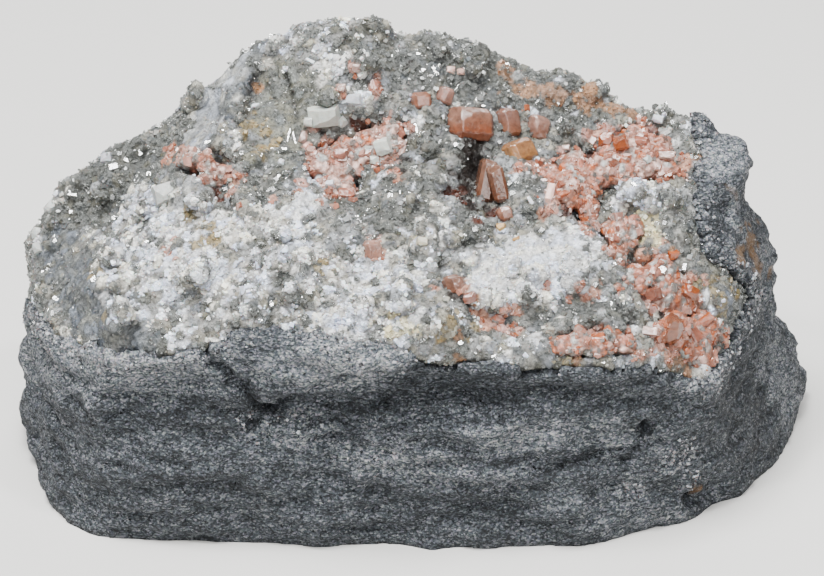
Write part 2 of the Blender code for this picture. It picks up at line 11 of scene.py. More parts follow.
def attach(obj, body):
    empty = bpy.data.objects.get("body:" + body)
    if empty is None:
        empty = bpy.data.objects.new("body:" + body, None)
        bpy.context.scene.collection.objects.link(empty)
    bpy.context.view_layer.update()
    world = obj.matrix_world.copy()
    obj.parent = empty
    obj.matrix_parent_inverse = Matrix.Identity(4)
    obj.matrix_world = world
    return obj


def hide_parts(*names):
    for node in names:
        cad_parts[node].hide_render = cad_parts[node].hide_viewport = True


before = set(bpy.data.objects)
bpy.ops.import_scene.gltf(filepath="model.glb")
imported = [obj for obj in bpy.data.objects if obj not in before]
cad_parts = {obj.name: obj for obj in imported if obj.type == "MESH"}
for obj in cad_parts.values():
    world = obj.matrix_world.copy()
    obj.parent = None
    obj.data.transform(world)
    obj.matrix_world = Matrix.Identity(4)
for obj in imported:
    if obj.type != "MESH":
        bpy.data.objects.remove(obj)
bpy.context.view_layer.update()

mm = 0.001  # pieces are modelled in millimetres and scaled to metres when they are finished

# where the photo was taken from; u runs right and w up across the picture, in mm at the target
view = {"elevation": 25, "distance": 350.0, "target": (-0.3, -6.5, 21.4), "width": 82.4, "sensor": 36.0}
lookDir = Vector((0, math.cos(math.radians(view["elevation"])), -math.sin(math.radians(view["elevation"]))))
upDir = Vector((0, -lookDir.z, lookDir.y))
eye = Vector(view["target"]) - lookDir * view["distance"]

# pale floor, soft light from above, and small lamps that the crystal faces mirror
studio = {
    "floor": "#cfcecb", "sky": ("#eef1f4", 0.13),
    "lamps": {  # place in m, size in m, power in W
        "key": ((-0.10, -0.06, 0.50), 0.26, 6.6), "front": ((0.10, -0.55, 0.30), 0.40, 2.4),
        "glintLeft": ((-0.24, -0.26, 0.46), 0.055, 1.5), "glintRight": ((0.20, -0.20, 0.50), 0.055, 1.5),
        "back": ((0.10, 0.45, 0.35), 0.30, 2.0),
    },
}


def spotOf(points):
    # the places in the picture, u and w, where points in mm are seen
    rays = np.asarray(points, float) - np.array(eye)
    depth = rays @ np.array(lookDir)
    return rays[:, 0] * view["distance"] / depth, rays @ np.array(upDir) * view["distance"] / depth


def sightHit(tree, u, w):
    # the point and normal where the line of sight through a place in the picture meets a skin
    way = (lookDir * view["distance"] + Vector((u, 0, 0)) + upDir * w).normalized()
    return tree.ray_cast(eye, way)[:2]


def flashWay(point, lampName):
    # the way a face must look to mirror a lamp to where the photo was taken
    toLamp = (Vector(studio["lamps"][lampName][0]) / mm - point).normalized()
    return (toLamp + (eye - point).normalized()).normalized()


def linear(hexColour):
    channels = [int(hexColour[i:i + 2], 16) / 255 for i in (1, 3, 5)]
    return np.array([c / 12.92 if c <= 0.04045 else ((c + 0.055) / 1.055) ** 2.4 for c in channels])


def cadCopy(nodeName):
    # a merged copy of a CAD node's mesh, in mm
    bm = bmesh.new()
    bm.from_mesh(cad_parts[nodeName].data)
    bmesh.ops.scale(bm, vec=(1 / mm,) * 3, verts=bm.verts)
    bmesh.ops.remove_doubles(bm, verts=bm.verts, dist=0.002)
    return bm


def meshOf(bm, name):
    mesh = bpy.data.meshes.new(name)
    bm.to_mesh(mesh)
    bm.free()
    return mesh


def dropSpecks(bm, fewest=60):
    # takes out the loose little cubes that a voxel skin can leave inside
    specks = []
    for start in bm.verts:
        if start.tag:
            continue
        start.tag = True
        island = [start]
        for vert in island:
            for other in (edge.other_vert(vert) for edge in vert.link_edges):
                if not other.tag:
                    other.tag = True
                    island.append(other)
        if len(island) < fewest:
            specks += island
    bmesh.ops.delete(bm, geom=specks, context="VERTS")


def voxelSkin(bm, voxel, rounds):
    # an even, softened skin over a closed mesh
    holder = bpy.data.objects.new("skinHolder", meshOf(bm, "skin"))
    bpy.context.scene.collection.objects.link(holder)
    remesh = holder.modifiers.new("voxels", "REMESH")
    remesh.mode = "VOXEL"
    remesh.voxel_size = voxel
    bpy.context.view_layer.update()
    skin = bpy.data.meshes.new_from_object(holder.evaluated_get(bpy.context.evaluated_depsgraph_get()))
    bpy.data.objects.remove(holder)
    soft = bmesh.new()
    soft.from_mesh(skin)
    dropSpecks(soft)
    for _ in range(rounds):
        bmesh.ops.smooth_vert(soft, verts=soft.verts, factor=0.5, use_axis_x=True, use_axis_y=True,
                              use_axis_z=True)
    soft.to_mesh(skin)
    soft.free()
    return skin


def places(mesh):
    co = np.empty(len(mesh.vertices) * 3)
    mesh.vertices.foreach_get("co", co)
    return co.reshape(-1, 3)


def setPlaces(mesh, co):
    mesh.vertices.foreach_set("co", np.ascontiguousarray(co, dtype=np.float32).ravel())
    mesh.update()


def outward(mesh):
    return np.array([n.vector for n in mesh.vertex_normals])


def treeOf(*meshes):
    points, faces = [], []
    for mesh in meshes:
        start = len(points)
        points += [v.co.copy() for v in mesh.vertices]
        faces += [[start + i for i in p.vertices] for p in mesh.polygons]
    return BVHTree.FromPolygons(points, faces)


def paint(mesh, name, colours):
    # one linear colour for each vertex
    layer = mesh.color_attributes.new(name=name, type="FLOAT_COLOR", domain="POINT")
    full = np.ones((len(mesh.vertices), 4), np.float32)
    full[:, :3] = colours
    layer.data.foreach_set("color", full.ravel())


def finishPiece(name, mesh, material, replaced=(), smooth=False):
    mesh.transform(Matrix.Scale(mm, 4))
    mesh.name = name
    mesh.materials.clear()
    mesh.materials.append(material)
    mesh.polygons.foreach_set("use_smooth", [smooth] * len(mesh.polygons))
    obj = bpy.data.objects.new(name, mesh)
    bpy.context.scene.collection.objects.link(obj)
    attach(obj, "root")
    if replaced:
        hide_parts(*replaced)
    mesh.calc_loop_triangles()
    print(name, len(mesh.loop_triangles), "triangles")
    return obj


def wander(points, size, seed):
    # a soft random value in -1..1 at each point, with features of a size in mm
    shift = Vector((seed * 7.3, seed * 3.1, seed * 5.7))
    return np.array([noise.noise(Vector(p) / size + shift) for p in points])


def ovalShare(ovals, u, w):
    # how far places lie inside soft ovals: u, w, half length, half width, strength, and the turn in
    # degrees of those that are turned
    total = np.zeros_like(u)
    for middleU, middleW, halfLength, halfWidth, strength, *turn in ovals:
        angle = math.radians(sum(turn))
        du, dw = u - middleU, w - middleW
        along = (du * math.cos(angle) + dw * math.sin(angle)) / halfLength
        across = (dw * math.cos(angle) - du * math.sin(angle)) / halfWidth
        total = np.maximum(total, strength * np.clip(1.6 - (along ** 2 + across ** 2), 0, 1))
    return total


def ovalShares(groups, points, seed, raggedness=1.0):
    # the share of each group of ovals at points in mm, with ragged edges
    u, w = spotOf(points)
    u = u + raggedness * (wander(points, 2.4, seed) + 0.5 * wander(points, 0.9, seed + 1))
    w = w + raggedness * (wander(points, 2.4, seed + 2) + 0.5 * wander(points, 0.9, seed + 3))
    return {kind: ovalShare(ovals, u, w) for kind, ovals in groups.items()}


def alongPath(path, u, w):
    # distance from a path in the picture, and which side a place is on (above is positive)
    nearest = np.full(len(u), 1e9)
    side = np.zeros(len(u))
    for (u0, w0), (u1, w1) in zip(path, path[1:]):
        length = math.hypot(u1 - u0, w1 - w0)
        share = np.clip(((u - u0) * (u1 - u0) + (w - w0) * (w1 - w0)) / length ** 2, 0, 1)
        du, dw = u - (u0 + share * (u1 - u0)), w - (w0 + share * (w1 - w0))
        distance = np.hypot(du, dw)
        closer = distance < nearest
        nearest = np.where(closer, distance, nearest)
        side = np.where(closer, np.sign((u1 - u0) * dw - (w1 - w0) * du), side)
    return nearest, side


def grainCells(points, size, seed):
    # the middle of the grain that each point belongs to, and how far inside its rim the point is
    shift = Vector((seed * 3.7, seed * 1.9, seed * 2.3))
    middles, rims = [], []
    for p in points:
        gaps, spots = noise.voronoi(Vector(p) / size + shift)
        middles.append(spots[0] - shift)
        rims.append(gaps[1] - gaps[0])
    return np.array(middles) * size, np.array(rims)


def domed(rims):
    # how high a grain stands at a distance inside its rim: steep at the side and flat on top
    return np.clip(rims * 2.2, 0, 1) ** 0.6


def luckOf(middles, salt):
    # a value in 0..1 that all points of one grain share
    waves = np.sin(np.round(middles, 3) @ np.array((12.9898, 78.233, 37.719)) + salt) * 43758.5453
    return waves - np.floor(waves)


# materials
def addNode(material, kind, links=None, **settings):
    # links go from an input's name or number to a socket or a value
    node = material.node_tree.nodes.new("ShaderNode" + kind)
    for key, value in settings.items():
        setattr(node, key, value)
    for key, value in (links or {}).items():
        if isinstance(value, bpy.types.NodeSocket):
            material.node_tree.links.new(value, node.inputs[key])
        else:
            node.inputs[key].default_value = value
    return node


def newMaterial(name, **sockets):
    material = bpy.data.materials.new(name)
    material.use_nodes = True
    shader = material.node_tree.nodes["Principled BSDF"]
    for key, value in sockets.items():
        shader.inputs[key.replace("_", " ")].default_value = value
    return material, shader


def rgba(hexColour):
    return (*linear(hexColour), 1.0)


def leaningGrains(material, cells, lean, height, heightMm):
    # a bumpy normal that also leans its own way in each cell of a mosaic of grains
    away = addNode(material, "VectorMath", {0: cells.outputs["Color"], 1: (0.5, 0.5, 0.5)},
                   operation="SUBTRACT")
    leaning = addNode(material, "VectorMath", {0: away.outputs[0], 3: lean}, operation="SCALE")
    bump = addNode(material, "Bump", {"Height": height, "Distance": heightMm * mm, "Strength": 0.9})
    tilted = addNode(material, "VectorMath", {0: bump.outputs[0], 1: leaning.outputs[0]},
                     operation="ADD")
    return addNode(material, "VectorMath", {0: tilted.outputs[0]}, operation="NORMALIZE").outputs[0]


schistFinish = {
    "tones": {0.28: "#0c0d10", 0.39: "#1d2125", 0.49: "#363b40", 0.58: "#555a5f", 0.69: "#7f8386",
              0.82: "#adafb0"},
    # how much each part of the pattern counts, and what the painted patches add to it; the darker share holds
    # darker rock and painted shade
    "grains": 0.24, "streaks": 0.29, "fineStreaks": 0.17, "specks": 0.31, "cracks": 0.12,
    "paler": 0.13, "darkerAndShade": -0.09, "rust": "#6b4f30", "rustStrength": 1.6, "hues": 0.16,
    # sizes in mm, along the layers and across them
    "streakMm": (2.6, 0.7), "fineStreakMm": (0.5, 0.27), "grainMm": (0.2, 0.15), "crackMm": (1.3, 0.5),
    "speckMm": 0.2, "bumpMm": 0.5, "layerTurn": 0.06, "crackBend": 1.6, "crackEdge": 0.12,
    # mica flakes: their size, the share of places without one, how far they lean and how smooth they are
    "micaMm": 0.2, "micaFree": 0.94, "micaLean": 1.7, "micaSmooth": -0.5, "roughness": 0.78,
}


def brokenMicaSchist():
    # mica schist broken by hand: matt and speckled, in wavy grey layers, with glinting mica flakes
    f = schistFinish
    material, shader = newMaterial("brokenMicaSchist", IOR=1.55, Specular_IOR_Level=0.35)
    at = addNode(material, "TexCoord").outputs["Object"]

    def laid(alongMm, acrossMm):
        scale = (1 / (alongMm * mm), 1 / (alongMm * mm), 1 / (acrossMm * mm))
        return addNode(material, "Mapping", {
            "Vector": at, "Rotation": (0, f["layerTurn"], 0), "Scale": scale}).outputs[0]

    def summed(base, *parts):
        for value, weight in parts:
            base = addNode(material, "Math", {0: value, 1: weight, 2: base},
                           operation="MULTIPLY_ADD").outputs[0]
        return base

    streaks = addNode(material, "TexNoise", {
        "Vector": laid(*f["streakMm"]), "Scale": 1.0, "Detail": 3.0, "Roughness": 0.6, "Distortion": 0.4})
    fineStreaks = addNode(material, "TexNoise", {
        "Vector": laid(*f["fineStreakMm"]), "Scale": 1.0, "Detail": 2.0, "Roughness": 0.7})
    specks = addNode(material, "TexNoise", {
        "Vector": at, "Scale": 1 / (f["speckMm"] * mm), "Detail": 3.0, "Roughness": 0.75})
    grains = addNode(material, "TexVoronoi", {"Vector": laid(*f["grainMm"]), "Scale": 1.0})
    grainLuck = addNode(material, "SeparateColor", {"Color": grains.outputs["Color"]})
    bentLayers = addNode(material, "VectorMath", {
        0: streaks.outputs["Color"], 1: (f["crackBend"],) * 3, 2: laid(*f["crackMm"])},
        operation="MULTIPLY_ADD")
    cracks = addNode(material, "TexVoronoi", {"Vector": bentLayers.outputs[0], "Scale": 1.0},
                     feature="DISTANCE_TO_EDGE")
    sound = addNode(material, "MapRange", {
        "Value": cracks.outputs["Distance"], "From Max": f["crackEdge"]})
    texture = summed(
        -f["cracks"], (grainLuck.outputs[0], f["grains"]), (streaks.outputs["Fac"], f["streaks"]),
        (fineStreaks.outputs["Fac"], f["fineStreaks"]), (specks.outputs["Fac"], f["specks"]),
        (sound.outputs[0], f["cracks"]))

    patches = addNode(material, "VertexColor", layer_name="patches")
    shares = addNode(material, "SeparateColor", {"Color": patches.outputs["Color"]}).outputs
    # the pale share lifts the tone and the second share lowers it: darker rock, and painted shade in grooves,
    # pits and under the crust's overhang
    ramp = addNode(material, "ValToRGB", {
        "Fac": summed(texture, (shares[0], f["paler"]), (shares[1], f["darkerAndShade"]))})
    stops = ramp.color_ramp.elements
    stops.remove(stops[1])
    for number, (position, hexColour) in enumerate(f["tones"].items()):
        stop = stops[0] if number == 0 else stops.new(position)
        stop.position, stop.color = position, rgba(hexColour)
    hue = addNode(material, "VectorMath", {
        0: grains.outputs["Color"], 1: (f["hues"],) * 3, 2: (1 - f["hues"] / 2,) * 3},
        operation="MULTIPLY_ADD")
    hued = addNode(material, "VectorMath", {0: ramp.outputs["Color"], 1: hue.outputs[0]},
                   operation="MULTIPLY")
    rustShare = addNode(material, "Math", {0: shares[2], 1: specks.outputs["Fac"]},
                        operation="MULTIPLY")
    rustMix = addNode(material, "Math", {0: rustShare.outputs[0], 1: f["rustStrength"]},
                      operation="MULTIPLY", use_clamp=True)
    rusty = addNode(material, "Mix", {6: hued.outputs[0], 7: rgba(f["rust"]), 0: rustMix.outputs[0]},
                    data_type="RGBA")

    flakes = addNode(material, "TexVoronoi", {"Vector": at, "Scale": 1 / (f["micaMm"] * mm)})
    flakeLuck = addNode(material, "SeparateColor", {"Color": flakes.outputs["Color"]})
    isFlake = addNode(material, "Math", {0: flakeLuck.outputs[0], 1: f["micaFree"]},
                      operation="GREATER_THAN").outputs[0]
    leanBy = addNode(material, "Math", {0: isFlake, 1: f["micaLean"]}, operation="MULTIPLY")
    links = material.node_tree.links
    links.new(rusty.outputs[2], shader.inputs["Base Color"])
    links.new(summed(f["roughness"], (isFlake, f["micaSmooth"])), shader.inputs["Roughness"])
    normal = leaningGrains(material, flakes, leanBy.outputs[0], texture, f["bumpMm"])
    links.new(normal, shader.inputs["Normal"])
    return material


cloudRange = (0.32, 0.68)  # the values of the flaws' noise that are darkest and lightest


def grownMineral(name, flawMm, bumpMm, contrast, mosaic=(0.3, 0.0, 0.0), **sockets):
    # a mineral coloured by its painted tint, with cloudy flaws, fine growth steps and a mosaic of
    # small grains: their size in mm, how far each leans and how much lighter or darker each is
    material, shader = newMaterial(name, **sockets)
    grainMm, lean, spread = mosaic
    at = addNode(material, "TexCoord").outputs["Object"]
    flaws = addNode(material, "TexNoise", {
        "Vector": at, "Scale": 1 / (flawMm * mm), "Detail": 4.0, "Roughness": 0.65}).outputs["Fac"]
    tint = addNode(material, "VertexColor", layer_name="tint").outputs["Color"]
    cells = addNode(material, "TexVoronoi", {"Vector": at, "Scale": 1 / (grainMm * mm)})
    luck = addNode(material, "SeparateColor", {"Color": cells.outputs["Color"]})
    shade = addNode(material, "MapRange", {
        "Value": flaws, "From Min": cloudRange[0], "From Max": cloudRange[1],
        "To Min": 1 - contrast - spread / 2, "To Max": 1 + contrast * 0.7 - spread / 2})
    shadeEach = addNode(material, "Math", {0: luck.outputs[1], 1: spread, 2: shade.outputs[0]},
                        operation="MULTIPLY_ADD")
    colour = addNode(material, "VectorMath", {0: tint, 3: shadeEach.outputs[0]}, operation="SCALE")
    material.node_tree.links.new(colour.outputs[0], shader.inputs["Base Color"])
    material.node_tree.links.new(leaningGrains(material, cells, lean, flaws, bumpMm), shader.inputs["Normal"])
    return material


print("materials")
schist = brokenMicaSchist()
# sugary albite, grown in a cleft: cloudy white, a soft glow inside and bright little faces
albite = grownMineral("grownAlbite", 0.4, 0.06, 0.16, Roughness=0.3, IOR=1.53, Subsurface_Weight=0.2,
                      Subsurface_Scale=0.4 * mm)
# clear quartz and adularia, grown in a cleft: light goes through and their smooth faces flash
adularia = grownMineral("grownAdularia", 0.8, 0.02, 0.12, Roughness=0.07, IOR=1.54, Transmission_Weight=0.82)
# the same minerals packed together below the crystals: a mottled mosaic of tiny faces
crustStone = grownMineral("intergrownFelspar", 0.3, 0.3, 0.3, (0.3, 0.75, 0.5), Roughness=0.36, IOR=1.53)
# monazite, grown in a cleft: resinous, and its thin edges let orange light through
monazite = grownMineral("grownMonazite", 0.6, 0.08, 0.3, (0.35, 0.16, 0.2), Roughness=0.16, IOR=1.8,
                        Transmission_Weight=0.4, Subsurface_Weight=0.3, Subsurface_Scale=0.7 * mm,
                        Subsurface_Radius=(1.0, 0.55, 0.35))
# monazite grains packed together: the same stone, broken up into small faces
monaziteMass = grownMineral("intergrownMonazite", 0.4, 0.2, 0.26, (0.36, 0.8, 0.4), Roughness=0.3, IOR=1.8,
                            Subsurface_Weight=0.3, Subsurface_Scale=0.5 * mm,
                            Subsurface_Radius=(1.0, 0.55, 0.35))

# crust: grains grown together, each of one kind, with its tone, the tone painted in the gaps round it as
# shade, how far it stands up in mm, the crystals that grow on it (how likely, smallest and largest in mm),
# and the shares of them that are clear and that mirror a lamp
grainColumns = ("tone", "gap", "stands", "crystals", "clear", "flash")
grainKinds = {kind: dict(zip(grainColumns, values)) for kind, values in {
    "grey": ("#888987", "#5c5a55", 0.18, (0.9, 0.2, 0.55), 0.6, 0.02),
    "clear": ("#575956", "#323330", 0.15, (1.0, 0.24, 0.7), 0.93, 0.035),
    "white": ("#d4d7dd", "#645e53", 0.38, (1.0, 0.2, 0.55), 0.14, 0.01),
    "cream": ("#d2ccb0", "#8f8563", 0.3, (0.9, 0.2, 0.5), 0.1, 0.01),
    "ochre": ("#8e8163", "#5b5038", 0.2, (0.8, 0.2, 0.5), 0.4, 0.02),
    "fluffy": ("#d9dce2", "#8f9092", 0.16, (1.0, 0.16, 0.42), 0.1, 0.02),
    "dome": ("#6f716a", "#4e4f4a", 0.06, (0.8, 0.14, 0.4), 0.85, 0.03),
    "ridge": ("#9c9fa2", "#75787c", 0.04, (0.2, 0.12, 0.3), 0.2, 0.01),
    "slate": ("#65696c", "#3a3e41", 0.05, (0.4, 0.14, 0.38), 0.7, 0.035),
    "rust": ("#8f6d54", "#5a4330", 0.14, (0.5, 0.2, 0.4), 0.3, 0.02),
    "pink": ("#c09485", "#7a5646", 0.26, (0.9, 0.25, 0.7), 0.12, 0.03),
    # hollows painted near black: painted shade in the vug and small hollows
    "dark": ("#1f1813", "#0f0b08", -0.6, (0.15, 0.2, 0.5), 0.6, 0.0),
    "umber": ("#47251a", "#260f07", -0.4, (0.4, 0.2, 0.5), 0.3, 0.02),
}.items()}
# where each kind grows, as ovals in the picture (u, w, half length, half width, strength, turn)
grainOvals = {
    "clear": [
        (-28.5, 11.2, 8.0, 3.0, 0.95, 37), (-36.9, 4.6, 2.0, 3.8, 0.8), (6.8, 21.3, 8.5, 3.2, 0.97, -10),
        (17.5, -3.0, 6.0, 1.6, 0.6), (-2.7, 9.2, 4.2, 3.4, 0.7), (16.4, 17.0, 2.8, 2.2, 0.9),
        (-16.4, 22.6, 2.2, 1.0, 0.8, 40), (22.6, 8.6, 5.0, 1.8, 0.2), (-13.4, 12.2, 3.4, 2.8, 0.75),
        (3.0, 15.0, 2.6, 2.4, 0.6), (29.0, 5.0, 2.0, 4.0, 0.5), (6.6, 5.8, 3.2, 1.8, 0.6),
        (-14.0, 1.8, 2.4, 1.2, 0.7), (-26.9, -0.5, 1.3, 1.1, 0.95), (11.6, 10.4, 3.2, 1.6, 0.6),
        (-4.6, 24.6, 2.0, 1.8, 0.6), (-16.0, 8.2, 2.0, 1.0, 0.4), (-35.6, 1.2, 1.6, 2.0, 0.6),
        (25.8, 1.4, 1.6, 0.8, 0.6), (0.0, 21.8, 3.0, 2.4, 0.8),
    ],
    "white": [
        (-19.0, 6.0, 3.6, 2.4, 0.95), (-13.0, 6.0, 3.4, 1.6, 0.95, -20), (-24.5, 3.4, 6.4, 4.6, 0.7, 10),
        (-17.5, 1.0, 4.6, 2.4, 0.9), (-10.5, 2.6, 3.0, 2.0, 0.6), (-4.5, 1.2, 5.6, 2.4, 0.85, -8),
        (1.6, 5.2, 3.0, 1.8, 0.45), (-6.5, -2.8, 5.4, 1.7, 0.9, -4), (0.6, -3.2, 2.6, 2.0, 0.8),
        (-20.0, -3.6, 6.0, 1.6, 0.55, 4), (-29.0, -1.2, 3.8, 2.8, 0.45, 20),
        (-26.0, 8.6, 3.4, 1.6, 0.8, 25), (-8.0, 22.0, 1.9, 1.3, 1.0), (-7.5, 24.8, 2.8, 1.6, 0.3),
        (-5.4, 18.8, 1.2, 0.8, 0.9), (-2.8, 14.0, 1.2, 1.1, 0.9), (-9.2, 11.0, 1.4, 0.9, 0.9),
        (10.0, -6.2, 4.0, 1.0, 0.55), (7.6, -1.2, 2.0, 1.6, 0.6), (28.9, -8.6, 1.2, 1.2, 0.6),
        (22.8, 8.8, 3.0, 1.8, 0.5), (-24.4, 6.2, 3.0, 1.0, 0.85, 25),
    ],
    "cream": [
        (23.4, 5.9, 1.7, 1.6, 0.95), (-0.6, -3.6, 1.6, 1.2, 0.5), (1.0, 4.6, 0.6, 0.6, 0.8),
    ],
    "ochre": [
        (-14.6, 15.2, 2.8, 2.0, 0.6), (-20.6, 4.7, 0.8, 1.1, 0.8), (-22.4, 7.4, 1.2, 0.9, 0.4),
        (4.0, -4.4, 1.6, 1.9, 0.4), (31.0, -0.6, 1.6, 2.2, 0.35), (-30.4, -2.3, 0.5, 1.3, 0.8, 15),
        (15.8, -7.0, 2.0, 0.8, 0.6), (-31.6, 1.5, 0.8, 0.5, 0.7, 30), (7.4, 4.2, 0.9, 0.6, 0.6),
        (-9.8, 2.4, 1.0, 0.7, 0.4), (29.4, 0.2, 1.0, 0.8, 0.4),
    ],
    "fluffy": [
        (12.4, 2.3, 6.6, 3.2, 1.0, 6), (8.4, 0.2, 3.2, 2.2, 0.8), (-10.7, 8.3, 1.7, 0.9, 1.0, 15),
    ],
    "dome": [
        (-12.4, 18.3, 3.3, 4.6, 1.0), (-13.6, 13.4, 2.6, 1.8, 0.5), (-9.2, 18.6, 1.6, 2.2, 0.8),
    ],
    "ridge": [
        (-19.2, 18.3, 6.2, 1.6, 1.0, 63), (-23.4, 9.2, 1.8, 1.5, 0.7),
    ],
    "slate": [
        (-32.9, -1.0, 6.6, 2.0, 1.0, -62), (-34.0, 3.4, 2.4, 1.8, 0.6, -60),
        (-16.4, 20.8, 4.2, 0.9, 0.9, 60), (-29.0, -4.8, 3.0, 1.6, 0.7, -30),
        (31.4, 7.6, 1.4, 5.4, 0.75, 8), (30.6, 13.6, 1.6, 1.8, 0.7), (32.4, 0.4, 1.2, 3.0, 0.5),
    ],
    "rust": [
        (15.0, 19.2, 5.0, 0.7, 1.0, -14), (20.4, 17.8, 2.6, 0.5, 0.9, -14),
        (9.9, 21.4, 1.6, 0.6, 0.7, -35), (-15.4, 19.9, 0.3, 0.7, 1.0), (27.6, -7.2, 2.6, 0.8, 0.6, 10),
        (26.1, 3.2, 0.7, 0.7, 0.9), (4.8, -5.6, 1.4, 1.2, 0.25), (16.3, -6.3, 0.9, 0.6, 0.8),
        (28.4, 12.6, 0.4, 0.8, 0.6), (19.2, -4.9, 1.2, 0.6, 0.8), (6.0, -0.6, 1.0, 0.7, 0.5),
    ],
    "pink": [
        (-8.0, 13.4, 2.3, 1.6, 0.8, 10), (-7.6, 9.7, 1.8, 1.2, 0.8), (-11.0, 10.7, 0.9, 0.9, 0.7),
        (-4.2, 15.6, 1.5, 1.3, 0.6), (-1.4, 15.0, 1.1, 2.2, 0.6), (-2.0, 12.4, 1.8, 0.9, 0.6),
        (-23.8, 13.2, 2.0, 0.9, 0.6, -20), (-19.6, 11.6, 2.4, 1.1, 0.75, -20),
        (-18.2, 9.4, 1.2, 0.7, 0.7, -40), (15.8, 12.2, 4.8, 1.3, 0.9), (14.8, 9.4, 2.2, 2.3, 0.75, 20),
        (18.4, 10.3, 2.0, 0.9, 0.8), (21.6, 14.2, 4.2, 1.9, 0.85, -8), (25.6, 12.2, 2.0, 1.7, 0.7, -20),
        (21.0, 12.0, 2.6, 1.4, 0.85), (20.6, 4.8, 1.1, 2.1, 0.85, 10), (17.8, 6.1, 0.9, 0.7, 0.7),
        (24.6, 3.4, 1.5, 0.7, 0.8, 20), (24.6, -0.8, 2.2, 1.5, 0.85), (27.8, -0.2, 1.8, 1.6, 0.9, -10),
        (22.6, 1.1, 1.6, 1.4, 0.6), (29.0, -4.8, 2.0, 2.4, 0.95), (18.6, -5.5, 3.4, 0.9, 0.8, 3),
        (26.0, -6.4, 3.2, 0.9, 0.8), (8.4, -3.4, 2.4, 1.5, 0.6, -20), (18.0, -0.5, 1.5, 1.0, 0.6),
        (14.4, -0.3, 1.2, 0.8, 0.4), (-4.0, 3.7, 1.0, 1.2, 0.7), (-7.4, 2.3, 0.8, 0.6, 0.5),
        (3.6, -0.2, 1.8, 1.1, 0.4), (-7.2, 19.9, 0.7, 0.7, 0.9), (-3.8, 20.0, 0.6, 1.0, 0.9),
        (-5.5, 22.0, 0.7, 0.7, 0.7), (11.2, 17.2, 1.0, 1.4, 0.4), (-25.4, -2.7, 0.4, 0.5, 0.8),
        (-2.6, 18.0, 0.7, 0.7, 0.6), (-12.8, 8.6, 1.2, 0.6, 0.3), (-24.0, 3.8, 0.8, 0.6, 0.8),
        (-10.9, 15.0, 0.6, 0.8, 0.8),
    ],
    # painted shade: the vug beside the blades and other small hollows, painted near black
    "dark": [
        (5.7, 11.8, 1.2, 3.5, 1.0), (7.4, 7.9, 1.9, 1.0, 0.8), (-19.2, 10.2, 0.6, 1.0, 1.0, 15),
        (25.1, -2.9, 0.8, 0.5, 1.0), (5.0, -0.8, 1.2, 0.7, 0.5), (-0.4, 12.4, 0.5, 0.5, 0.9),
        (-18.4, 8.3, 0.5, 0.4, 0.8), (-0.6, 22.4, 0.6, 0.5, 0.7), (-8.4, 15.2, 1.0, 0.5, 0.7),
        (11.6, 14.8, 0.6, 0.5, 0.6), (-11.6, 15.2, 0.5, 0.4, 0.7),
    ],
    "umber": [
        (-5.0, 17.0, 1.3, 0.6, 1.0, 25), (4.4, 9.6, 0.9, 0.9, 0.9), (15.4, 7.8, 0.5, 0.4, 0.9),
        (8.0, 7.2, 1.2, 0.6, 0.7), (-19.6, 9.2, 0.6, 0.5, 0.9), (25.4, 1.0, 1.0, 0.4, 0.6),
        (9.8, 14.6, 1.4, 0.5, 0.6), (22.2, -0.4, 0.8, 0.3, 0.6),
    ],
}
kindNames = list(grainKinds)
luckyWhite, luckyClear = 0.13, 0.74  # stray grains: below the first white, above the second clear


def grainKindOf(middles, seed):
    # the number of each grain's kind, by luck and by the ovals that it lies in
    unique, back = np.unique(np.round(middles, 3), axis=0, return_inverse=True)
    shares = ovalShares(grainOvals, unique, seed)
    chance = luckOf(unique, 1.0)
    kinds = np.where(chance < luckyWhite, kindNames.index("white"),
                     np.where(chance > luckyClear, kindNames.index("clear"), 0))
    for salt, kind in enumerate(kindNames[1:], 2):
        kinds = np.where(luckOf(unique, salt) < shares[kind], kindNames.index(kind), kinds)
    return kinds[back.ravel()]


coolWhite, warmWhite = linear("#dfe5f2"), linear("#efe7d2")


def grainTone(middles, kinds):
    # each grain's colour: its kind's tone, lighter or darker and warmer or cooler by luck
    tones = np.array([linear(grainKinds[k]["tone"]) for k in kindNames])[kinds]
    warmth = luckOf(middles, 31)[:, None]
    light = 0.72 + 0.5 * luckOf(middles, 37)[:, None]
    return tones * light * (coolWhite * (1 - warmth) + warmWhite * warmth) / 0.8


crust = {
    "voxel": 0.33, "fatten": 0.28, "grainMm": 1.0, "seed": 21,
    "swells": [(3.2, 0.35), (1.3, 0.2), (0.6, 0.12)],  # size and height in mm
    "grainMiddle": 0.45, "creviceShadeSteep": 3.2, "creviceShadeStrength": 0.8, "mottleMm": 0.5, "mottle": 0.4,
    "climbMm": 0.9, "climb": 0.55,  # the bed rises by so much round a monazite crystal
    # creases: path in the picture, width, depth and how dark the painted shade along them is
    "creases": [
        {"path": [(-12.5, 21.4), (-12.1, 19.2), (-11.4, 16.8)], "width": 0.35, "depth": 0.4, "dark": 0.75},
        {"path": [(-16.6, 17.2), (-15.9, 20.4), (-13.8, 23.4), (-12.4, 25.0)], "width": 0.7, "depth": 0.45,
         "dark": 0.6},
        {"path": [(-20.4, -6.4), (-17.4, -4.9), (-14.2, -4.4)], "width": 0.5, "depth": 0.3, "dark": 0.4},
        {"path": [(-31.5, 4.6), (-27.4, 6.6), (-24.6, 8.4)], "width": 0.5, "depth": 0.3, "dark": 0.4},
    ],
    # streaks on grains of two kinds: turn, length and width in mm, how strong, and how high all are
    "streaks": {"ridge": (62, 4.5, 0.42, 0.75), "slate": (-62, 2.2, 0.28, 1.1)}, "streakHigh": 0.12,
}
monaziteNames = [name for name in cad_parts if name.startswith("monazite_")]


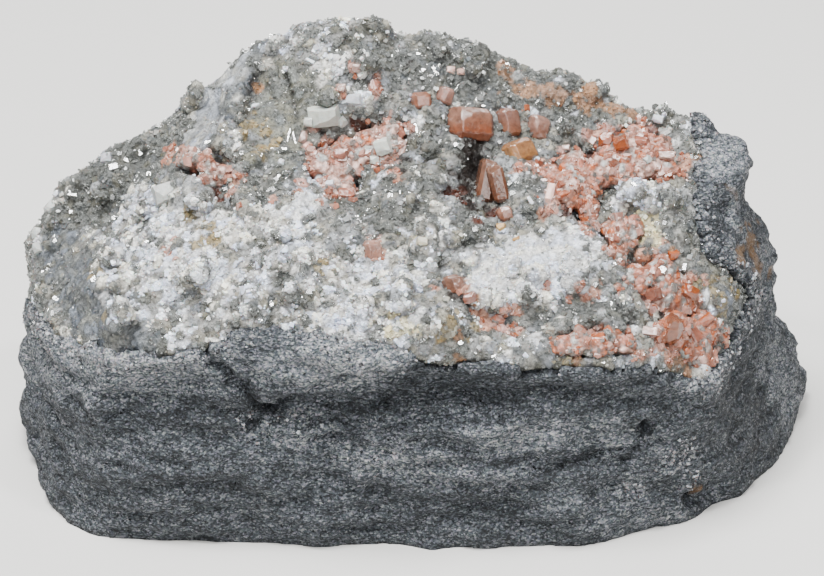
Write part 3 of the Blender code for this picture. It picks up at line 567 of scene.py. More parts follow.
def crustBed():
    # the CAD crust with its grains standing up from it
    skin = voxelSkin(cadCopy("crystal_crust"), crust["voxel"], 3)
    co, across = places(skin), outward(skin)
    u, w = spotOf(co)
    middles, rims = grainCells(co, crust["grainMm"], crust["seed"])
    kinds = grainKindOf(middles, crust["seed"])
    stands = np.array([grainKinds[k]["stands"] for k in kindNames])[kinds]
    lift = crust["fatten"] + stands * (domed(rims) - crust["grainMiddle"]) * (0.5 + luckOf(middles, 41))
    for size, height in crust["swells"]:
        lift += height * wander(co, size, size * 3)
    monaziteTree = treeOf(*(meshOf(cadCopy(name), "monaziteForm") for name in monaziteNames))
    climbMm = crust["climbMm"]
    gap = np.array([monaziteTree.find_nearest(Vector(p), climbMm)[3] or climbMm for p in co])
    lift += crust["climb"] * (1 - gap / climbMm)
    shade = 1 + crust["mottle"] * wander(co, crust["mottleMm"], 9)
    for kind, (turn, longMm, thinMm, strength) in crust["streaks"].items():
        angle = math.radians(turn)
        along = (u * math.cos(angle) + w * math.sin(angle)) / longMm
        over = (w * math.cos(angle) - u * math.sin(angle)) / thinMm
        lines = wander(np.column_stack([along, over, np.zeros(len(u))]), 1.0, 17)
        hasLines = kinds == kindNames.index(kind)
        shade = shade + np.where(hasLines, strength * lines, 0)
        lift = lift + np.where(hasLines, crust["streakHigh"] * lines, 0)
    wiggle = 0.25 * wander(co, 0.8, 19)
    for crease in crust["creases"]:
        away, _ = alongPath(crease["path"], u + wiggle, w + wiggle)
        near = np.clip(1.2 - away / crease["width"], 0, 1)
        lift -= crease["depth"] * near
        # painted shade along the crease
        shade = shade * (1 - crease["dark"] * near)
    setPlaces(skin, co + across * lift[:, None])
    # painted shade: the crevices between grains are painted with the darker gap tone
    gaps = np.array([linear(grainKinds[k]["gap"]) for k in kindNames])[kinds]
    creviceShadeShare = (1 - np.clip(rims * crust["creviceShadeSteep"], 0, 1))[:, None] * crust["creviceShadeStrength"]
    tint = grainTone(middles, kinds) * (1 - creviceShadeShare) + gaps * creviceShadeShare
    paint(skin, "tint", np.clip(tint * np.clip(shade, 0.05, 2)[:, None], 0, 0.9))
    return skin


print("crust bed")
crustSkin = crustBed()
crustTree = treeOf(crustSkin)

# schist: broken layers, grooves and pits
block = {
    "voxel": 0.42, "fatten": 0.02, "flatBelow": 0.4,
    "swells": [(6.0, 0.30), (2.4, 0.32), (1.2, 0.32), (0.65, 0.2)],  # size and height in mm
    # ledges where the layers end, the tilt of the layers and how they wave: height, size and seed
    "ledges": {"longMm": 8.0, "stepMm": 1.5, "height": 0.6, "tilt": 0.06,
               "waves": [(1.6, 12.0, 4), (0.4, 2.5, 6)]},
    # the rock's lip at the crust's open edge, and how much of a gap under the crust it fills
    "creepMm": 2.4, "creepLift": 1.25, "coverMm": 3.0, "fillMm": 0.8,
    # rugged places on the front, as ovals
    "rugged": [
        (-8.0, -16.6, 9.0, 3.4, 0.8, 4), (3.0, -17.8, 7.0, 2.4, 0.7, -6), (24.2, -18.6, 5.6, 4.4, 1.0),
        (-13.4, -13.4, 6.0, 2.4, 0.8), (32.4, 12.6, 3.0, 3.0, 0.5), (37.4, -8.0, 2.0, 5.0, 0.6),
        (-33.0, -8.0, 4.0, 3.0, 0.5),
    ],
    "ruggedSwells": [(1.7, 0.5), (0.8, 0.3)],
    # spots with clear grains in the rock, as ovals
    "glassy": [
        (26.4, -16.6, 2.2, 1.6, 0.5, 30), (22.3, -20.2, 1.3, 0.9, 0.5), (27.6, -19.4, 1.0, 1.4, 0.35),
        (-15.0, -13.8, 2.8, 1.6, 0.22), (-4.4, -17.0, 3.0, 1.6, 0.1), (-9.6, -14.6, 2.0, 1.2, 0.15),
    ],
}
# breaks across the front: path in the picture, width, how far the rock above and below it stands,
# and how deep the groove along it is; each groove is also painted darker as shade
grooveWidth = 0.8
breaks = [
    {"path": [(-20.4, -6.8), (-17.6, -9.2), (-14.9, -11.8)], "width": 1.4, "above": 0.3, "below": 0.3,
     "groove": 1.4},
    {"path": [(-14.9, -11.8), (-10.5, -10.1), (-4.1, -8.4), (2.2, -7.6)], "width": 2.6, "above": 0.9,
     "below": -1.2, "groove": 0.9},
    {"path": [(-9.0, -15.4), (2.0, -13.4), (9.0, -13.8)], "width": 1.6, "above": -0.3, "below": 0.35,
     "groove": 0.3},
    {"path": [(13.5, -18.6), (20.0, -16.4), (24.6, -15.8)], "width": 1.8, "above": -0.2, "below": 0.5,
     "groove": 0.5},
    {"path": [(-16.0, -13.6), (-11.0, -14.0), (-6.0, -13.2)], "width": 1.0, "above": 0.1, "below": 0.2,
     "groove": 0.5},
    {"path": [(-27.0, -7.6), (-21.5, -9.2), (-17.4, -12.6)], "width": 1.0, "above": 0.2, "below": 0.0,
     "groove": 0.3},
]
# pits in the front: u, w, radius and depth; each pit is also painted darker as shade
pits = [
    (23.4, -14.1, 0.9, 1.8), (28.0, -20.9, 0.8, 1.2), (-16.1, -13.4, 0.6, 1.0), (25.2, -19.4, 0.9, 0.7),
    (21.2, -17.2, 0.8, 0.5), (9.2, -13.2, 0.6, 0.4),
]
# patches of the front that are paler, darker or rusty, as ovals; the darker ones are partly painted shadow
schistOvals = {
    "pale": [
        (-8.4, -7.6, 8.4, 2.4, 1.0, 6), (-22.0, -8.4, 6.0, 2.6, 0.6, -6), (-11.6, -14.2, 4.6, 1.8, 0.6),
        (-4.0, -17.0, 3.4, 2.0, 0.8), (5.0, -18.6, 6.0, 1.4, 0.5, -10), (1.8, -17.2, 2.0, 0.9, 0.8),
        (21.8, -20.2, 1.5, 1.1, 0.7, 20), (25.6, -16.4, 2.2, 1.8, 0.5, 30), (-36.0, -6.0, 3.4, 4.0, 0.8),
        (31.0, 13.2, 2.6, 1.8, 1.0, -20), (31.4, 10.0, 1.6, 3.0, 0.3), (36.6, -8.6, 1.6, 4.0, 0.6, 10),
        (29.0, -8.8, 2.2, 1.8, 1.0, 40), (-29.4, -8.4, 9.0, 3.0, 0.75, -5), (17.0, -21.6, 6.0, 1.6, 0.4),
        (24.0, -24.0, 6.0, 1.4, 0.5), (32.4, 7.4, 0.6, 3.6, 0.9, 6), (11.0, -14.8, 5.5, 1.6, 0.8),
        (35.8, 1.0, 1.4, 4.0, 0.5, 10), (38.2, -12.0, 1.0, 3.0, 0.7), (18.6, -14.2, 3.4, 1.4, 0.7),
    ],
    # partly painted shadow: the band under the crust's overhang and the lines along the breaks on the left;
    # the rest is darker rock
    "dark": [
        (6.0, -10.0, 12.0, 1.6, 0.35, 6), (20.0, -9.6, 5.0, 1.0, 0.3, 6),
        (-17.6, -9.3, 3.8, 0.6, 0.9, -43), (-14.0, -13.4, 3.0, 0.6, 0.6),
        (32.6, -10.4, 3.0, 6.4, 0.45, 10), (-24.0, -12.6, 9.0, 1.6, 0.35, 4),
        (9.0, -17.0, 5.0, 0.8, 0.5, 12), (30.0, 7.6, 1.8, 4.4, 0.55, 8), (8.0, -21.8, 10.0, 1.0, 0.35, 4),
        (-22.0, -19.0, 12.0, 1.2, 0.3), (17.0, -13.4, 5.0, 0.7, 0.4, 4), (33.6, 0.0, 1.4, 5.0, 0.3, 12),
    ],
    "rust": [
        (34.0, 3.6, 0.7, 2.2, 0.9, 12), (33.6, 6.2, 0.4, 0.6, 0.8), (28.1, -20.0, 0.4, 0.5, 0.9),
        (27.0, -7.9, 1.4, 0.6, 0.5), (31.9, 9.8, 0.4, 0.8, 0.4),
    ],
}


def creepOf(co, across):
    # how near each place is to the crust's open edge, and how much of the gap under the crust it fills
    creep, closing = np.zeros(len(co)), np.zeros(len(co))
    for i, point in enumerate(co):
        spot = Vector(point)
        gap = crustTree.find_nearest(spot, block["creepMm"])[3]
        over = crustTree.ray_cast(spot, Vector(across[i]), block["coverMm"])[3]
        if gap is not None and over is None:
            creep[i] = 1 - gap / block["creepMm"]
        elif gap is not None:
            closing[i] = min(over, block["fillMm"])
    return creep, closing


def schistBlock():
    # the CAD block with broken layers, and the share of clear and white grains strewn on its rock
    skin = voxelSkin(cadCopy("schist_matrix"), block["voxel"], 4)
    co, across = places(skin), outward(skin)
    lift = np.full(len(co), block["fatten"])
    for size, height in block["swells"]:
        lift += height * wander(co, size, size)
    ledges = block["ledges"]
    bent = co[:, 2] + ledges["tilt"] * co[:, 0]
    for height, size, seed in ledges["waves"]:
        bent = bent + height * wander(co, size, seed)
    steps = wander(np.column_stack([co[:, 0] / ledges["longMm"], co[:, 1] / ledges["longMm"],
                                    bent / ledges["stepMm"]]), 1.0, 5)
    upright = np.clip(1.15 - np.abs(across[:, 2]) - 0.5 * np.clip(across[:, 0], 0, 1), 0, 1)
    lift += ledges["height"] * (np.abs(steps) ** 0.6 * np.sign(steps)) * upright
    u, w = spotOf(co)
    front = np.clip(-across[:, 1] * 2, 0, 1)
    wiggle = 0.5 * wander(co, 1.6, 8)
    rugged = ovalShare(block["rugged"], u + 2 * wiggle, w + 2 * wiggle) * np.clip(front + across[:, 0], 0, 1)
    for size, height in block["ruggedSwells"]:
        lift += rugged * height * wander(co, size, size + 2)
    # painted shade: the grooves and pits are painted darker, and go into the darker share of the patches
    shade = np.zeros(len(co))
    for line in breaks:
        away, side = alongPath(line["path"], u + wiggle, w + wiggle)
        fade = np.clip(1 - away / line["width"], 0, 1)
        groove = np.clip(1 - away / grooveWidth, 0, 1) * line["groove"]
        lift += front * (np.where(side > 0, line["above"], line["below"]) * fade - groove)
        shade = np.maximum(shade, groove)
    for pitU, pitW, radius, depth in pits:
        dip = np.clip(1.2 - np.hypot(u + wiggle - pitU, w + wiggle - pitW) / radius, 0, 1) * front
        lift -= depth * dip
        shade = np.maximum(shade, dip)
    creep, closing = creepOf(co, across)
    lift += block["creepLift"] * creep ** 1.3 + closing
    lift *= np.clip(co[:, 2] / 1.5, 0, 1)
    co = co + across * lift[:, None]
    co[co[:, 2] < block["flatBelow"], 2] = 0
    setPlaces(skin, co)
    shares = ovalShares(schistOvals, co, 11, 1.5)
    edgeShare = np.clip(np.maximum(1 - (u + 3) / 4, 0.5 * (u - 26)), 0.1, 0.8)
    pale = shares["pale"] + creep * edgeShare * 0.8 + 0.35 * rugged * (0.5 + wander(co, 1.0, 13))
    paint(skin, "patches", np.column_stack([np.clip(pale, 0, 1.2), np.maximum(shares["dark"], shade),
                                            shares["rust"]]))
    glassy = ovalShare(block["glassy"], u + wiggle, w + wiggle) * front
    return skin, np.maximum((creep * edgeShare) ** 2, glassy)


print("schist")
blockSkin, spillShare = schistBlock()
outerTree = treeOf(blockSkin, crustSkin)


# crystals: a few shapes about 1 mm in size, each with a few faces
def crystalShape(bm, name):
    bmesh.ops.recalc_face_normals(bm, faces=bm.faces)
    return meshOf(bm, name)


def cutFace(bm, way, depth, middle=Vector()):
    # cuts a closed mesh flat, square to a way and at a share of its reach from its middle
    reach = max((v.co - middle).dot(way) for v in bm.verts) * depth
    everything = bm.verts[:] + bm.edges[:] + bm.faces[:]
    cut = bmesh.ops.bisect_plane(bm, geom=everything, plane_co=middle + way * reach, plane_no=way,
                                 clear_outer=True)
    rim = [part for part in cut["geom_cut"] if isinstance(part, bmesh.types.BMEdge)]
    if rim:
        bmesh.ops.edgeloop_fill(bm, edges=rim)


def cutBlock(seed, size, cuts, depth=0.8, rise=(0.1, 1), taper=1.0):
    # a block with some corners cut off by crystal faces
    luck = random.Random(seed)
    bm = bmesh.new()
    bmesh.ops.create_cube(bm, size=1.0)
    bmesh.ops.scale(bm, verts=[v for v in bm.verts if v.co.z > 0], vec=(taper, taper, 1))
    bmesh.ops.scale(bm, verts=bm.verts, vec=size)
    for _ in range(cuts):
        way = Vector((luck.uniform(-1, 1), luck.uniform(-1, 1), luck.uniform(*rise))).normalized()
        cutFace(bm, way, depth)
    return crystalShape(bm, "cutBlock")


def grit(seed):
    # a skewed little block that narrows upwards
    luck = random.Random(seed)
    bm = bmesh.new()
    bmesh.ops.create_cube(bm, size=1.0)
    for vert in bm.verts:
        share = luck.uniform(0.45, 0.75) if vert.co.z > 0 else 1.0
        vert.co = (vert.co.x * share, vert.co.y * share * 0.9, vert.co.z + luck.uniform(-0.14, 0.14))
    bmesh.ops.triangulate(bm, faces=bm.faces)
    return crystalShape(bm, "grit")


def pointedPrism(sides, radius, lean):
    bm = bmesh.new()
    bmesh.ops.create_cone(bm, cap_ends=True, segments=sides, radius1=radius, radius2=radius, depth=1.0,
                          matrix=Matrix.Translation((0, 0, 0.2)))
    top = [f for f in bm.faces if f.normal.z > 0.9]
    tip = bmesh.ops.poke(bm, faces=top)["verts"]
    bmesh.ops.translate(bm, verts=tip, vec=(lean, 0.3 * lean, 1.1 * radius))
    return crystalShape(bm, "pointedPrism")


crystalShapes = {
    "block": [cutBlock(seed, (1.0, 0.8, 0.7), 1) for seed in range(6)],
    "prism": [pointedPrism(5, 0.27, 0.05), pointedPrism(4, 0.32, 0.12), pointedPrism(5, 0.2, 0.0)],
    "blade": [cutBlock(seed, (0.5, 0.16, 1.3), 1, 0.7) for seed in range(3)],
    "grit": [grit(seed) for seed in range(8)],
    "tablet": [cutBlock(seed, (1.0, 0.85, 0.6), 2, 0.75) for seed in range(20, 26)],
    "plate": [cutBlock(seed, (1.0, 0.8, 0.6), 2, 0.8, (-0.1, 0.1), 0.85) for seed in range(30, 36)],
    "gem": [cutBlock(seed, (1.0, 1.0, 1.0), 9, 0.8, (-0.1, 1.2), 0.8) for seed in range(40, 46)],
}


spare = 2.2  # so many times more places are tried than are wanted


def openSpots(skin, count, rng, share=None, clearance=0.15):
    # random places on the part of a skin that nothing covers: points and normals
    skin.calc_loop_triangles()
    corners = np.empty(len(skin.loop_triangles) * 3, int)
    skin.loop_triangles.foreach_get("vertices", corners)
    corners = corners.reshape(-1, 3)
    tri = places(skin)[corners]
    cross = np.cross(tri[:, 1] - tri[:, 0], tri[:, 2] - tri[:, 0])
    area = np.linalg.norm(cross, axis=1)
    normal = cross / np.maximum(area, 1e-9)[:, None]
    if share is not None:
        area = area * share[corners].mean(1)
    picks = rng.choice(len(area), size=int(count * spare), p=area / area.sum())
    mix = rng.random((len(picks), 2))
    mix[mix.sum(1) > 1] = 1 - mix[mix.sum(1) > 1]
    sides = tri[picks, 1] - tri[picks, 0], tri[picks, 2] - tri[picks, 0]
    points = tri[picks, 0] + sides[0] * mix[:, :1] + sides[1] * mix[:, 1:]
    kept = []
    for i, (point, way) in enumerate(zip(points, normal[picks])):
        spot, up = Vector(point), Vector(way)
        if point[2] > 1.0 and outerTree.ray_cast(spot + up * clearance, up, 2.5)[0] is None:
            kept.append(i)
        if len(kept) == count:
            break
    return points[kept], normal[picks][kept]


def standing(way, tilt, rng):
    # a turn that stands a shape about along a normal
    up = Vector(way) + Vector(rng.normal(size=3)) * tilt
    spin = Matrix.Rotation(rng.uniform(0, math.tau), 3, "Z")
    return np.array(up.to_track_quat("Z", "Y").to_matrix() @ spin)


def facing(way, turn):
    # a turn that lays a shape's top along a way, with its length at an angle across the picture
    across = way.cross(Vector((math.cos(math.radians(turn)), 0, 0)) + upDir * math.sin(math.radians(turn)))
    across.normalize()
    return np.array(Matrix((across.cross(way), across, way)).transposed())


def joinCrystals(name, crystals, material):
    # joins crystals (shape, place, turn, size, colour) in one mesh
    bm = bmesh.new()
    corners, colours = [], []
    shapePlaces = {shape: [places(mesh) for mesh in meshes] for shape, meshes in crystalShapes.items()}
    for number, (shape, place, turn, size, colour) in enumerate(crystals):
        pick = number % len(crystalShapes[shape])
        bm.from_mesh(crystalShapes[shape][pick])
        corners.append((shapePlaces[shape][pick] * size) @ turn.T + place)
        colours.append(np.tile(colour, (len(corners[-1]), 1)))
    mesh = meshOf(bm, name)
    setPlaces(mesh, np.concatenate(corners))
    paint(mesh, "tint", np.clip(np.concatenate(colours), 0, 0.95))
    return finishPiece(name, mesh, material)


# loose crystals on the crust, and grains that spill from it on the rock; sizes in mm
cover = {
    "count": 37500, "tilt": 0.45, "seed": 5, "lamps": ("glintLeft", "glintRight", "key"), "flashTilt": 0.03,
    "gritBelow": 0.36, "prismAbove": 0.3, "prisms": 0.3, "blades": 0.4,
    "adulariaAbove": 0.4, "albiteAbove": 0.32,  # sizes from which a crystal is in the lot of large ones
    "spillCount": 3200, "spillMm": (0.14, 0.4), "spillTilt": 0.6, "spillClear": 0.35,
    "spillLight": (0.12, 0.5),
}
crystalTones = {key: linear(value) for key, value in {
    "white": "#dde0e6", "glass": "#c4c7c3", "salmon": "#b97762", "orange": "#b96133", "palePink": "#d6b0a3",
    "golden": "#b38d57", "deep": "#94583b", "cream": "#cfc8b0", "green": "#cdd1c8",
}.items()}


def monaziteTone(rng, weights=(1.2, 1.0, 0.5)):
    # salmon, from pale pink to orange
    mix = rng.dirichlet(weights)
    return sum(crystalTones[tone] * share for tone, share in zip(("salmon", "palePink", "orange"), mix))


# the stone and the slot of each lot of crystals, and the crystals in it
lotStones = {
    "albiteCrystals": (albite, "druse"), "albiteSugar": (albite, "druse"),
    "adulariaCrystals": (adularia, "druse"), "adulariaGrains": (adularia, "druse"),
    "monaziteGrains": (monazite, "monazite"),
}
lots = {lot: [] for lot in lotStones}


def coverCrystals():
    # crystals all over the crust, each of the kind of the grain that it grows on
    rng = np.random.default_rng(cover["seed"])
    points, ways = openSpots(crustSkin, cover["count"], rng)
    middles, _ = grainCells(points, crust["grainMm"], crust["seed"])
    kinds = grainKindOf(middles, crust["seed"])
    tones = grainTone(middles, kinds)
    for point, way, kindNumber, tone in zip(points, ways, kinds, tones):
        kind = kindNames[kindNumber]
        settings = grainKinds[kind]
        likely, smallest, largest = settings["crystals"]
        shade = rng.uniform(0.75, 1.25)
        size = (smallest + (largest - smallest) * rng.random() ** 2) * rng.uniform(0.75, 1.2, 3)
        place = point + way * size.mean() * rng.uniform(-0.25, 0.1)
        turn = standing(way, cover["tilt"], rng)
        isClear, flashes = rng.random() < settings["clear"], rng.random() < settings["flash"]
        luck = rng.random()
        if rng.random() > likely:
            continue
        shape = "grit" if size.mean() < cover["gritBelow"] else "block"
        if flashes:
            lamp = cover["lamps"][int(luck * len(cover["lamps"]))]
            shape, turn = "plate", standing(flashWay(Vector(point), lamp), cover["flashTilt"], rng)
        if isClear:
            if not flashes and luck < cover["prisms"] and size.mean() > cover["prismAbove"]:
                shape = "prism"
            lot = "adulariaCrystals" if size.mean() > cover["adulariaAbove"] else "adulariaGrains"
            tone = crystalTones["glass"]
        elif kind == "pink":
            lot, tone = "monaziteGrains", monaziteTone(rng)
            shape = shape if flashes else "tablet"
        elif kind == "fluffy" and luck < cover["blades"]:
            lot, shape, tone = "albiteSugar", "blade", crystalTones["white"]
        else:
            lot = "albiteCrystals" if size.mean() > cover["albiteAbove"] else "albiteSugar"
        lots[lot].append((shape, place, turn, size, tone * shade))
    points, ways = openSpots(blockSkin, cover["spillCount"], rng, spillShare)
    for point, way in zip(points, ways):
        size = rng.uniform(*cover["spillMm"]) * rng.uniform(0.7, 1.2, 3)
        lot = "adulariaGrains" if rng.random() < cover["spillClear"] else "albiteSugar"
        tone = crystalTones["white"] * rng.uniform(*cover["spillLight"])
        lots[lot].append(("grit", point, standing(way, cover["spillTilt"], rng), size, tone))


print("crystals")
coverCrystals()

# crystals that stand out in the photo: u, w, length, width and height in mm, turn, the lamp that
# their top mirrors ("" for none), tone, how light and shape; a row that ends early has the values
# that stand before its list
showCrystals = {
    "albiteCrystals": (("", "white", 0.8, "gem"), [
        (-8.8, 17.3, 3.5, 2.4, 2.2, 6, "", "green"), (-5.7, 18.8, 1.7, 1.2, 1.0, 0, "", "white", 0.6),
        (-7.0, 16.6, 1.1, 1.1, 1.0, 40, "", "glass", 0.75),
        (-10.4, 16.6, 1.0, 1.0, 0.9, 0, "", "green", 0.6), (-2.9, 14.1, 1.8, 1.9, 1.2, 20, "", "green"),
        (-3.8, 12.8, 1.0, 0.9, 0.8, 0, "", "green", 0.7), (-9.2, 11.1, 1.2, 1.0, 0.8, 0, "glintRight"),
        (-13.1, 12.5, 0.7, 0.7, 0.6, 0), (-24.6, 9.5, 2.6, 2.1, 1.0, 20, "", "glass", 0.65),
        (-8.2, 10.4, 0.9, 0.8, 0.7, 0), (24.6, 16.9, 1.2, 0.9, 0.8, -15),
        (23.5, 12.8, 0.9, 0.8, 0.6, 30, "", "glass", 0.7),
        (3.8, 21.8, 1.0, 0.8, 0.6, 0, "", "palePink", 0.9),
        (4.9, 21.6, 0.9, 0.7, 0.6, 0, "", "palePink", 0.85),
        (8.9, 6.0, 1.0, 0.9, 0.8, 0, "", "golden", 1.1), (10.4, 4.9, 0.8, 0.4, 0.4, 20, "", "golden"),
        (1.0, 4.6, 1.1, 1.0, 0.8, 0, "", "cream", 0.7), (11.8, 8.7, 1.1, 0.45, 0.4, -65),
        (-30.5, 13.0, 1.3, 1.1, 0.9, 0, "", "white", 0.6),
        (-15.7, 18.2, 1.1, 0.45, 0.4, 22, "", "white", 0.9), (-12.6, 21.9, 0.7, 0.6, 0.5, 0),
        (-10.2, 22.7, 1.1, 0.4, 0.4, -28, "", "white", 0.9),
        (13.8, 9.5, 2.3, 0.9, 0.7, 80, "", "palePink", 1.1),
        (-36.0, 8.0, 1.6, 1.2, 1.0, 50, "", "glass", 0.7),
        (-37.4, 5.4, 1.4, 1.1, 1.0, 80, "", "glass", 0.7),
        (-37.4, 3.9, 1.3, 1.0, 0.9, -70, "", "glass", 0.65),
    ]),
    "adulariaCrystals": (("glintLeft", "glass", 1, "plate"), [
        (-13.4, 13.9, 2.2, 0.4, 0.3, -2), (0.4, 16.1, 1.5, 0.35, 0.3, -70),
        (-13.4, 11.1, 1.0, 0.4, 0.3, 80, "glintRight"), (-12.3, 15.3, 1.5, 0.25, 0.25, 78),
        (-11.8, 15.0, 1.5, 0.22, 0.25, 100, "glintRight"), (-12.7, 21.6, 0.6, 0.45, 0.4, 0),
        (2.3, 21.7, 1.2, 0.45, 0.4, -62, "glintRight"), (1.2, 21.8, 0.5, 0.5, 0.4, 0),
        (7.1, 18.2, 0.45, 0.25, 0.2, 0, "glintRight"), (6.5, 18.9, 0.6, 0.2, 0.2, 50),
        (-29.8, 12.1, 1.0, 0.8, 0.6, 10), (-28.4, 12.7, 1.1, 0.5, 0.4, -20, "glintRight"),
        (-26.3, 11.4, 0.6, 0.6, 0.4, 0), (-34.0, 9.4, 1.1, 0.7, 0.5, -10, "glintRight"),
        (-34.1, 7.6, 0.4, 0.5, 0.3, 0), (-35.6, -1.1, 0.8, 0.5, 0.4, -40),
        (-36.2, -2.2, 0.7, 0.6, 0.4, 30, "glintRight"), (-36.9, 1.6, 0.4, 0.4, 0.3, 0),
        (22.3, 10.3, 1.1, 0.45, 0.4, -25, "glintRight"), (4.4, 14.3, 0.5, 0.6, 0.4, 20),
        (25.1, 1.8, 0.8, 1.0, 0.7, 70), (27.2, 2.1, 0.9, 0.5, 0.5, 80, "glintRight"),
        (-7.9, 17.0, 0.6, 0.8, 0.9, 60, "glintRight"), (9.5, 22.4, 0.5, 0.3, 0.3, 0, "glintRight"),
        (-20.4, 14.6, 0.8, 0.4, 0.4, 10), (0.6, 23.4, 0.5, 0.4, 0.3, 0, "glintRight"),
        (-9.8, 17.2, 0.5, 0.5, 0.4, 0), (24.8, -8.2, 0.4, 0.4, 0.3, 0),
    ]),
    "monaziteGrains": (("", "palePink", 0.9, "gem"), [
        (-7.2, 19.9, 1.1, 1.0, 0.8, 0, "", "palePink", 0.8),
        (-3.8, 20.0, 1.7, 1.0, 0.8, 78, "glintLeft", "salmon", 0.95),
        (-5.5, 22.0, 1.0, 1.0, 0.7, 0, "", "palePink", 0.7),
        (-10.9, 15.0, 1.4, 0.9, 0.7, 70, "glintRight", "palePink", 0.75),
        (15.4, 14.0, 0.9, 0.7, 0.6, 0, "glintLeft", "palePink", 1.0),
        (11.7, 12.2, 0.9, 0.5, 0.5, -35, "glintLeft", "palePink", 1.0, "plate"),
        (12.7, 11.7, 0.5, 0.5, 0.4, 0, "glintRight", "palePink", 1.0, "plate"),
        (18.1, 14.7, 0.8, 0.9, 0.7, 60, "glintLeft", "palePink", 1.0, "plate"),
        (20.4, 13.0, 0.9, 0.7, 0.6, -30, "glintRight", "palePink", 1.0, "plate"),
        (19.4, 14.7, 1.6, 1.4, 1.1, -8, "", "orange", 0.85),
        (20.9, 14.4, 1.6, 1.4, 1.1, 30, "", "orange", 0.75),
        (20.2, 15.3, 1.3, 1.0, 0.9, 0, "", "salmon", 0.85),
        (25.4, 13.2, 1.9, 0.9, 0.8, 0, "", "palePink", 1.0),
        (26.1, 3.3, 1.1, 1.0, 0.8, 0, "", "orange", 1.0),
        (23.9, -4.4, 1.7, 1.1, 1.2, -10, "glintLeft", "palePink", 0.9, "plate"),
        (26.1, -4.2, 2.8, 1.8, 1.6, 68, "", "deep"), (28.2, -4.6, 1.7, 1.3, 1.1, -50, "", "salmon"),
        (29.4, -3.2, 1.8, 1.1, 1.0, 40, "", "orange"), (24.0, -0.6, 1.7, 1.5, 1.2, 10, "", "salmon", 0.7),
        (27.6, -0.4, 1.9, 1.5, 1.2, -20, "", "orange", 0.8), (-9.0, 14.0, 1.6, 1.1, 0.9, 30),
        (-7.2, 13.4, 1.5, 1.1, 0.9, -20, "glintLeft", "salmon", 0.95),
        (-1.2, 15.8, 1.7, 0.9, 0.8, -60, "", "salmon", 0.95),
        (-0.9, 13.6, 1.5, 0.9, 0.8, 80, "", "palePink", 0.95),
        (-6.6, 9.4, 1.8, 1.2, 0.9, 0, "", "salmon", 0.95), (-3.5, 16.4, 1.2, 0.9, 0.8, 20),
        (5.8, -1.0, 1.4, 1.1, 0.9, 20, "", "salmon", 0.7), (8.6, -3.2, 1.3, 1.0, 0.8, -40, "", "salmon"),
        (18.6, -5.0, 1.6, 1.0, 0.8, 10, "", "orange", 0.95),
        (23.0, 14.6, 1.5, 1.0, 0.8, -20, "", "salmon"),
    ]),
}


showing = {"seed": 12, "wobble": 0.25, "toViewer": 0.7, "out": 0.12}


def placeShowCrystals():
    tree = treeOf(blockSkin, crustSkin, *(skin for skin, _ in groupSkins.values()))
    luck = random.Random(showing["seed"])
    for lot, (usual, rows) in showCrystals.items():
        for u, w, length, width, height, turn, *own in rows:
            lamp, tone, light, shape = (*own, *usual[len(own):])
            point, normal = sightHit(tree, u, w)
            tilt = Vector([luck.gauss(0, showing["wobble"]) for _ in range(3)])
            freeWay = (normal - lookDir * showing["toViewer"] + tilt).normalized()
            way = flashWay(point, lamp) if lamp else freeWay
            place = np.array(point + way * height * showing["out"])
            size = np.array((length, width, height))
            lots[lot].append((shape, place, facing(way, turn), size, crystalTones[tone] * light))


# monazite: single crystals keep their CAD form, cut by more faces; groups break up into crystals
singles = {
    "edge": 0.15, "cuts": 6, "cutDepth": (0.85, 0.95), "flatTurn": 2, "sharpTurn": 14,  # mm and degrees
    "tones": {  # tone above, tone below, the lamp that one face mirrors and how deep that face is cut
        "monazite_tabular": ("#926a59", "#915236", "glintRight", 0.85),
        "monazite_rounded": ("#90685a", "#8c5a42", "glintLeft", 1.0),
        "monazite_upright": ("#a27c6e", "#90624f", "glintRight", 0.96),
        "monazite_golden": ("#a2734f", "#ab7a45", "glintLeft", 1.0),
        "monazite_blades": ("#87614f", "#70432c", "glintLeft", 0.95),
        "monazite_bead": ("#a0715e", "#8c5a46", "glintRight", 0.96),
        "monazite_top_left": ("#a06f5b", "#965f49", "glintLeft", 1.0),
        "monazite_top_right": ("#a87f72", "#976a5a", "glintRight", 0.97),
        "monazite_block": ("#b88f80", "#a87764", "glintLeft", 0.97),
        "monazite_brown": ("#8c6757", "#7f5340", "glintRight", 0.97),
    },
}
groups = {
    "voxel": 0.26, "grainMm": 0.9, "fatten": 0.05, "stands": 0.3, "seed": 57, "grainMiddle": 0.6,
    "perMm2": 1.3, "sizeMm": (0.28, 0.95), "tilt": 0.6, "sunk": 0.26, "gems": 0.35, "flashes": 0.05,
    # how much salmon, pale pink and orange, and the share of clear crystals between them
    "tones": {
        "monazite_upper_right": ((1.3, 0.9, 0.9), 0.15), "monazite_right_string": ((1.2, 0.9, 0.5), 0.25),
        "monazite_right_nest": ((1.2, 0.6, 1.0), 0.2), "monazite_lower_right": ((0.9, 0.6, 1.6), 0.1),
        "monazite_lower_strip": ((0.8, 0.8, 1.3), 0.42), "monazite_left_patches": ((1.0, 1.7, 0.2), 0.22),
        "monazite_far_left": ((1.2, 1.3, 0.4), 0.35),
    },
}


